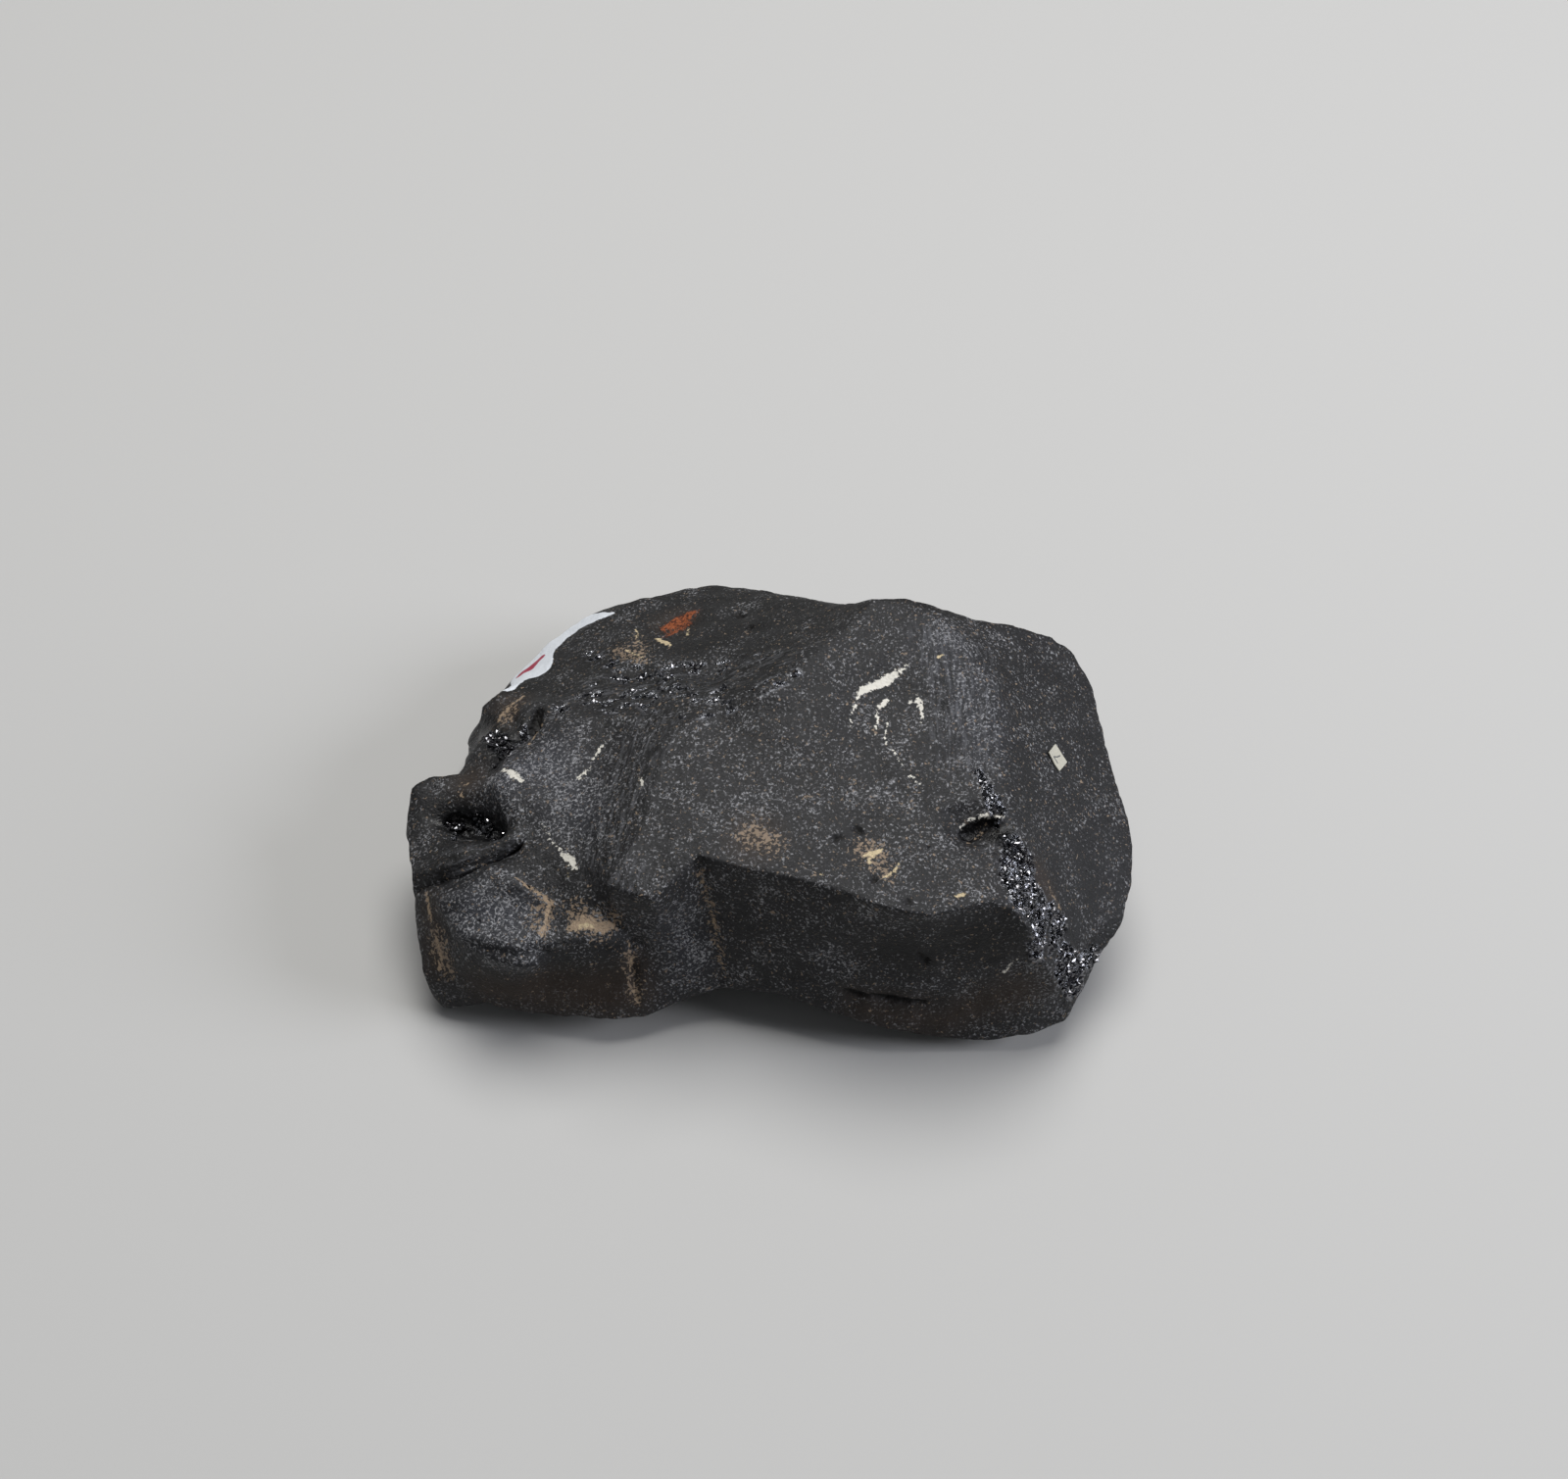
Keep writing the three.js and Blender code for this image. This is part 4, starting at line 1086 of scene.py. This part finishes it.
angular = add(
    growth, "GeometryNodeSetPosition", {"Geometry": ball.outputs["Mesh"], "Offset": knock.outputs[0]}
)
turn = add(
    growth,
    "FunctionNodeRandomValue",
    {0: (0.0, 0.0, 0.0), 1: (2 * math.pi,) * 3, "Seed": given["Seed"]},
    data_type="FLOAT_VECTOR",
)
stretch = add(
    growth,
    "FunctionNodeRandomValue",
    {0: GRAIN_LEAST_STRETCH, 1: GRAIN_MOST_STRETCH, "Seed": given["Seed"]},
    data_type="FLOAT_VECTOR",
)
copies = add(
    growth,
    "GeometryNodeInstanceOnPoints",
    {
        "Points": scatter.outputs["Points"],
        "Instance": angular.outputs["Geometry"],
        "Rotation": turn.outputs[0],
        "Scale": stretch.outputs[0],
    },
)
realized = add(growth, "GeometryNodeRealizeInstances", {"Geometry": copies.outputs["Instances"]})
flat = add(
    growth,
    "GeometryNodeSetShadeSmooth",
    {"Geometry": realized.outputs["Geometry"], "Shade Smooth": False},
)
dressed = add(
    growth,
    "GeometryNodeSetMaterial",
    {"Geometry": flat.outputs["Geometry"], "Material": given["Material"]},
)
add(growth, "NodeGroupOutput", {"Grains": dressed.outputs["Geometry"]})

grains = bpy.data.objects.new("fracture_grains", break_mesh)
bpy.context.scene.collection.objects.link(grains)
grow = grains.modifiers.new("grow", "NODES")
grow.node_group = growth
grow[inputs["Grain radius"].identifier] = GRAIN_RADIUS
grow[inputs["Spacing"].identifier] = GRAIN_SPACING
grow[inputs["Seed"].identifier] = GRAIN_SEED
grow[inputs["Material"].identifier] = fracture
grains_mesh = bpy.data.meshes.new_from_object(grains.evaluated_get(bpy.context.evaluated_depsgraph_get()))
grains.modifiers.clear()
grains.data = grains_mesh
# the plain mesh keeps one slot alone, for the fracture
grains_mesh.polygons.foreach_set("material_index", [0] * len(grains_mesh.polygons))
grains_mesh.materials.clear()
grains_mesh.materials.append(fracture)
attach(grains, "root")

# Paper label
# A tiny square of off-white paper with a plain grey digit, glued flat on the right-hand face. It is
# a thin sheet that follows the stone under it, with one corner lifting a little.
LABEL_CENTRE = place(29.0, -15.5, 20.0)
LABEL_FACING = Vector((0.67, -0.09, 0.74)).normalized()
LABEL_UP = Vector((-1.0, -2.0, 1.0)).normalized()
LABEL_SIDE = 2.4 * MM
LABEL_CELLS = 48
PAPER_THICKNESS = 0.1 * MM
GLUE = 0.03 * MM
SIGHT_HEIGHT = 3 * MM
# how many times the sheet is eased over the stone's bumps, and how far it is then raised off them
EASE_PASSES = 60
RAISED_SHARE = 0.7
# the lifting corner starts this far along the sheet's diagonal, and rises this much
CORNER_START = 0.45
CORNER_LIFT = 0.16 * MM
# the digit seven, as the corners of a pen line in millimetres
DIGIT = [(-0.42, 0.6), (0.4, 0.6), (0.04, -0.05), (-0.08, -0.62)]
PEN_WIDTH = 0.17
NO_PEN = 9.0
PAPER_DARK = "#9c998b"
PAPER_LIGHT = "#c2bfb1"
PEN_GREY = "#4a4b4e"
FIBRE_SIZE = 0.12 * MM
FIBRE_DEPTH = 0.02 * MM

label_up = (LABEL_UP - LABEL_UP.dot(LABEL_FACING) * LABEL_FACING).normalized()
label_across = label_up.cross(LABEL_FACING)
stone = BVHTree.FromObject(crystal, bpy.context.evaluated_depsgraph_get())
steps = np.linspace(-0.5, 0.5, LABEL_CELLS + 1)
drop = np.zeros((LABEL_CELLS + 1, LABEL_CELLS + 1))
for i, v in enumerate(steps):
    for j, u in enumerate(steps):
        at = LABEL_CENTRE + (label_across * u + label_up * v) * LABEL_SIDE
        drop[i, j] = SIGHT_HEIGHT - stone.ray_cast(at + LABEL_FACING * SIGHT_HEIGHT, -LABEL_FACING)[3]
lay = drop.copy()
for _ in range(EASE_PASSES):
    padded = np.pad(lay, 1, mode="edge")
    lay = (padded[:-2, 1:-1] + padded[2:, 1:-1] + padded[1:-1, :-2] + padded[1:-1, 2:]) / 4
lay += (drop - lay).max() * RAISED_SHARE + GLUE
past_start = np.clip(steps[:, None] + steps[None, :] - CORNER_START, 0, 1)
lay += CORNER_LIFT * past_start * 2
label_points = []
label_ink = []
for layer in (PAPER_THICKNESS, 0):
    for i, v in enumerate(steps):
        for j, u in enumerate(steps):
            at = LABEL_CENTRE + (label_across * u + label_up * v) * LABEL_SIDE
            label_points.append(at + LABEL_FACING * (lay[i, j] + layer))
            at_mm = np.array((u, v)) * LABEL_SIDE / MM
            gap = NO_PEN
            for start, end in zip(DIGIT, DIGIT[1:]):
                along = np.subtract(end, start)
                share = min(max((at_mm - start) @ along / (along @ along), 0), 1)
                gap = min(gap, np.linalg.norm(at_mm - start - share * along) - PEN_WIDTH / 2)
            label_ink.append(gap if layer else NO_PEN)
row = LABEL_CELLS + 1
label_faces = []
for i in range(LABEL_CELLS):
    for j in range(LABEL_CELLS):
        a = i * row + j
        label_faces.append((a, a + 1, a + row + 1, a + row))
        label_faces.append(tuple(row * row + k for k in (a, a + row, a + row + 1, a + 1)))
rim = list(range(row)) + [i * row + row - 1 for i in range(1, row)]
rim += [(row - 1) * row + j for j in range(row - 2, -1, -1)] + [i * row for i in range(row - 2, 0, -1)]
for a, b in zip(rim, rim[1:] + rim[:1]):
    label_faces.append((b, a, row * row + a, row * row + b))
label_mesh = bpy.data.meshes.new("label")
label_mesh.from_pydata(label_points, [], label_faces)
ink_layer = label_mesh.attributes.new("pen", "FLOAT", "POINT")
ink_layer.data.foreach_set("value", np.asarray(label_ink, dtype=np.float32))
label = bpy.data.objects.new("label", label_mesh)
bpy.context.scene.collection.objects.link(label)
check = bmesh.new()
check.from_mesh(label_mesh)
bmesh.ops.recalc_face_normals(check, faces=check.faces)
check.to_mesh(label_mesh)
check.free()

# matte rag paper, with fibres a tenth of a millimetre long that make it faintly uneven
paper = bpy.data.materials.new("rag_paper")
paper.use_nodes = True
tree = paper.node_tree
where = add(tree, "ShaderNodeTexCoord").outputs["Object"]
fibres = add(
    tree,
    "ShaderNodeTexNoise",
    {"Vector": where, "Scale": 1 / FIBRE_SIZE, "Detail": 3.0, "Distortion": 1.0},
).outputs["Fac"]
paper_colour = add(
    tree,
    "ShaderNodeMix",
    {MIX: fibres, UNDER: linear(PAPER_DARK), OVER: linear(PAPER_LIGHT)},
    data_type="RGBA",
).outputs[MIXED]
pen_gap = add(tree, "ShaderNodeAttribute", attribute_name="pen").outputs["Fac"]
pen = add(
    tree,
    "ShaderNodeMapRange",
    {"Value": pen_gap, "From Min": -0.02, "From Max": 0.02, "To Min": 0.9, "To Max": 0.0},
).outputs[0]
paper_colour = add(
    tree, "ShaderNodeMix", {MIX: pen, UNDER: paper_colour, OVER: linear(PEN_GREY)}, data_type="RGBA"
).outputs[MIXED]
paper_bump = add(tree, "ShaderNodeBump", {"Height": fibres, "Distance": FIBRE_DEPTH}).outputs["Normal"]
shader = tree.nodes["Principled BSDF"]
shader.inputs["Roughness"].default_value = 0.85
tree.links.new(paper_colour, shader.inputs["Base Color"])
tree.links.new(paper_bump, shader.inputs["Normal"])
label_mesh.materials.append(paper)
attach(label, "root")
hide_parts("paper_label")
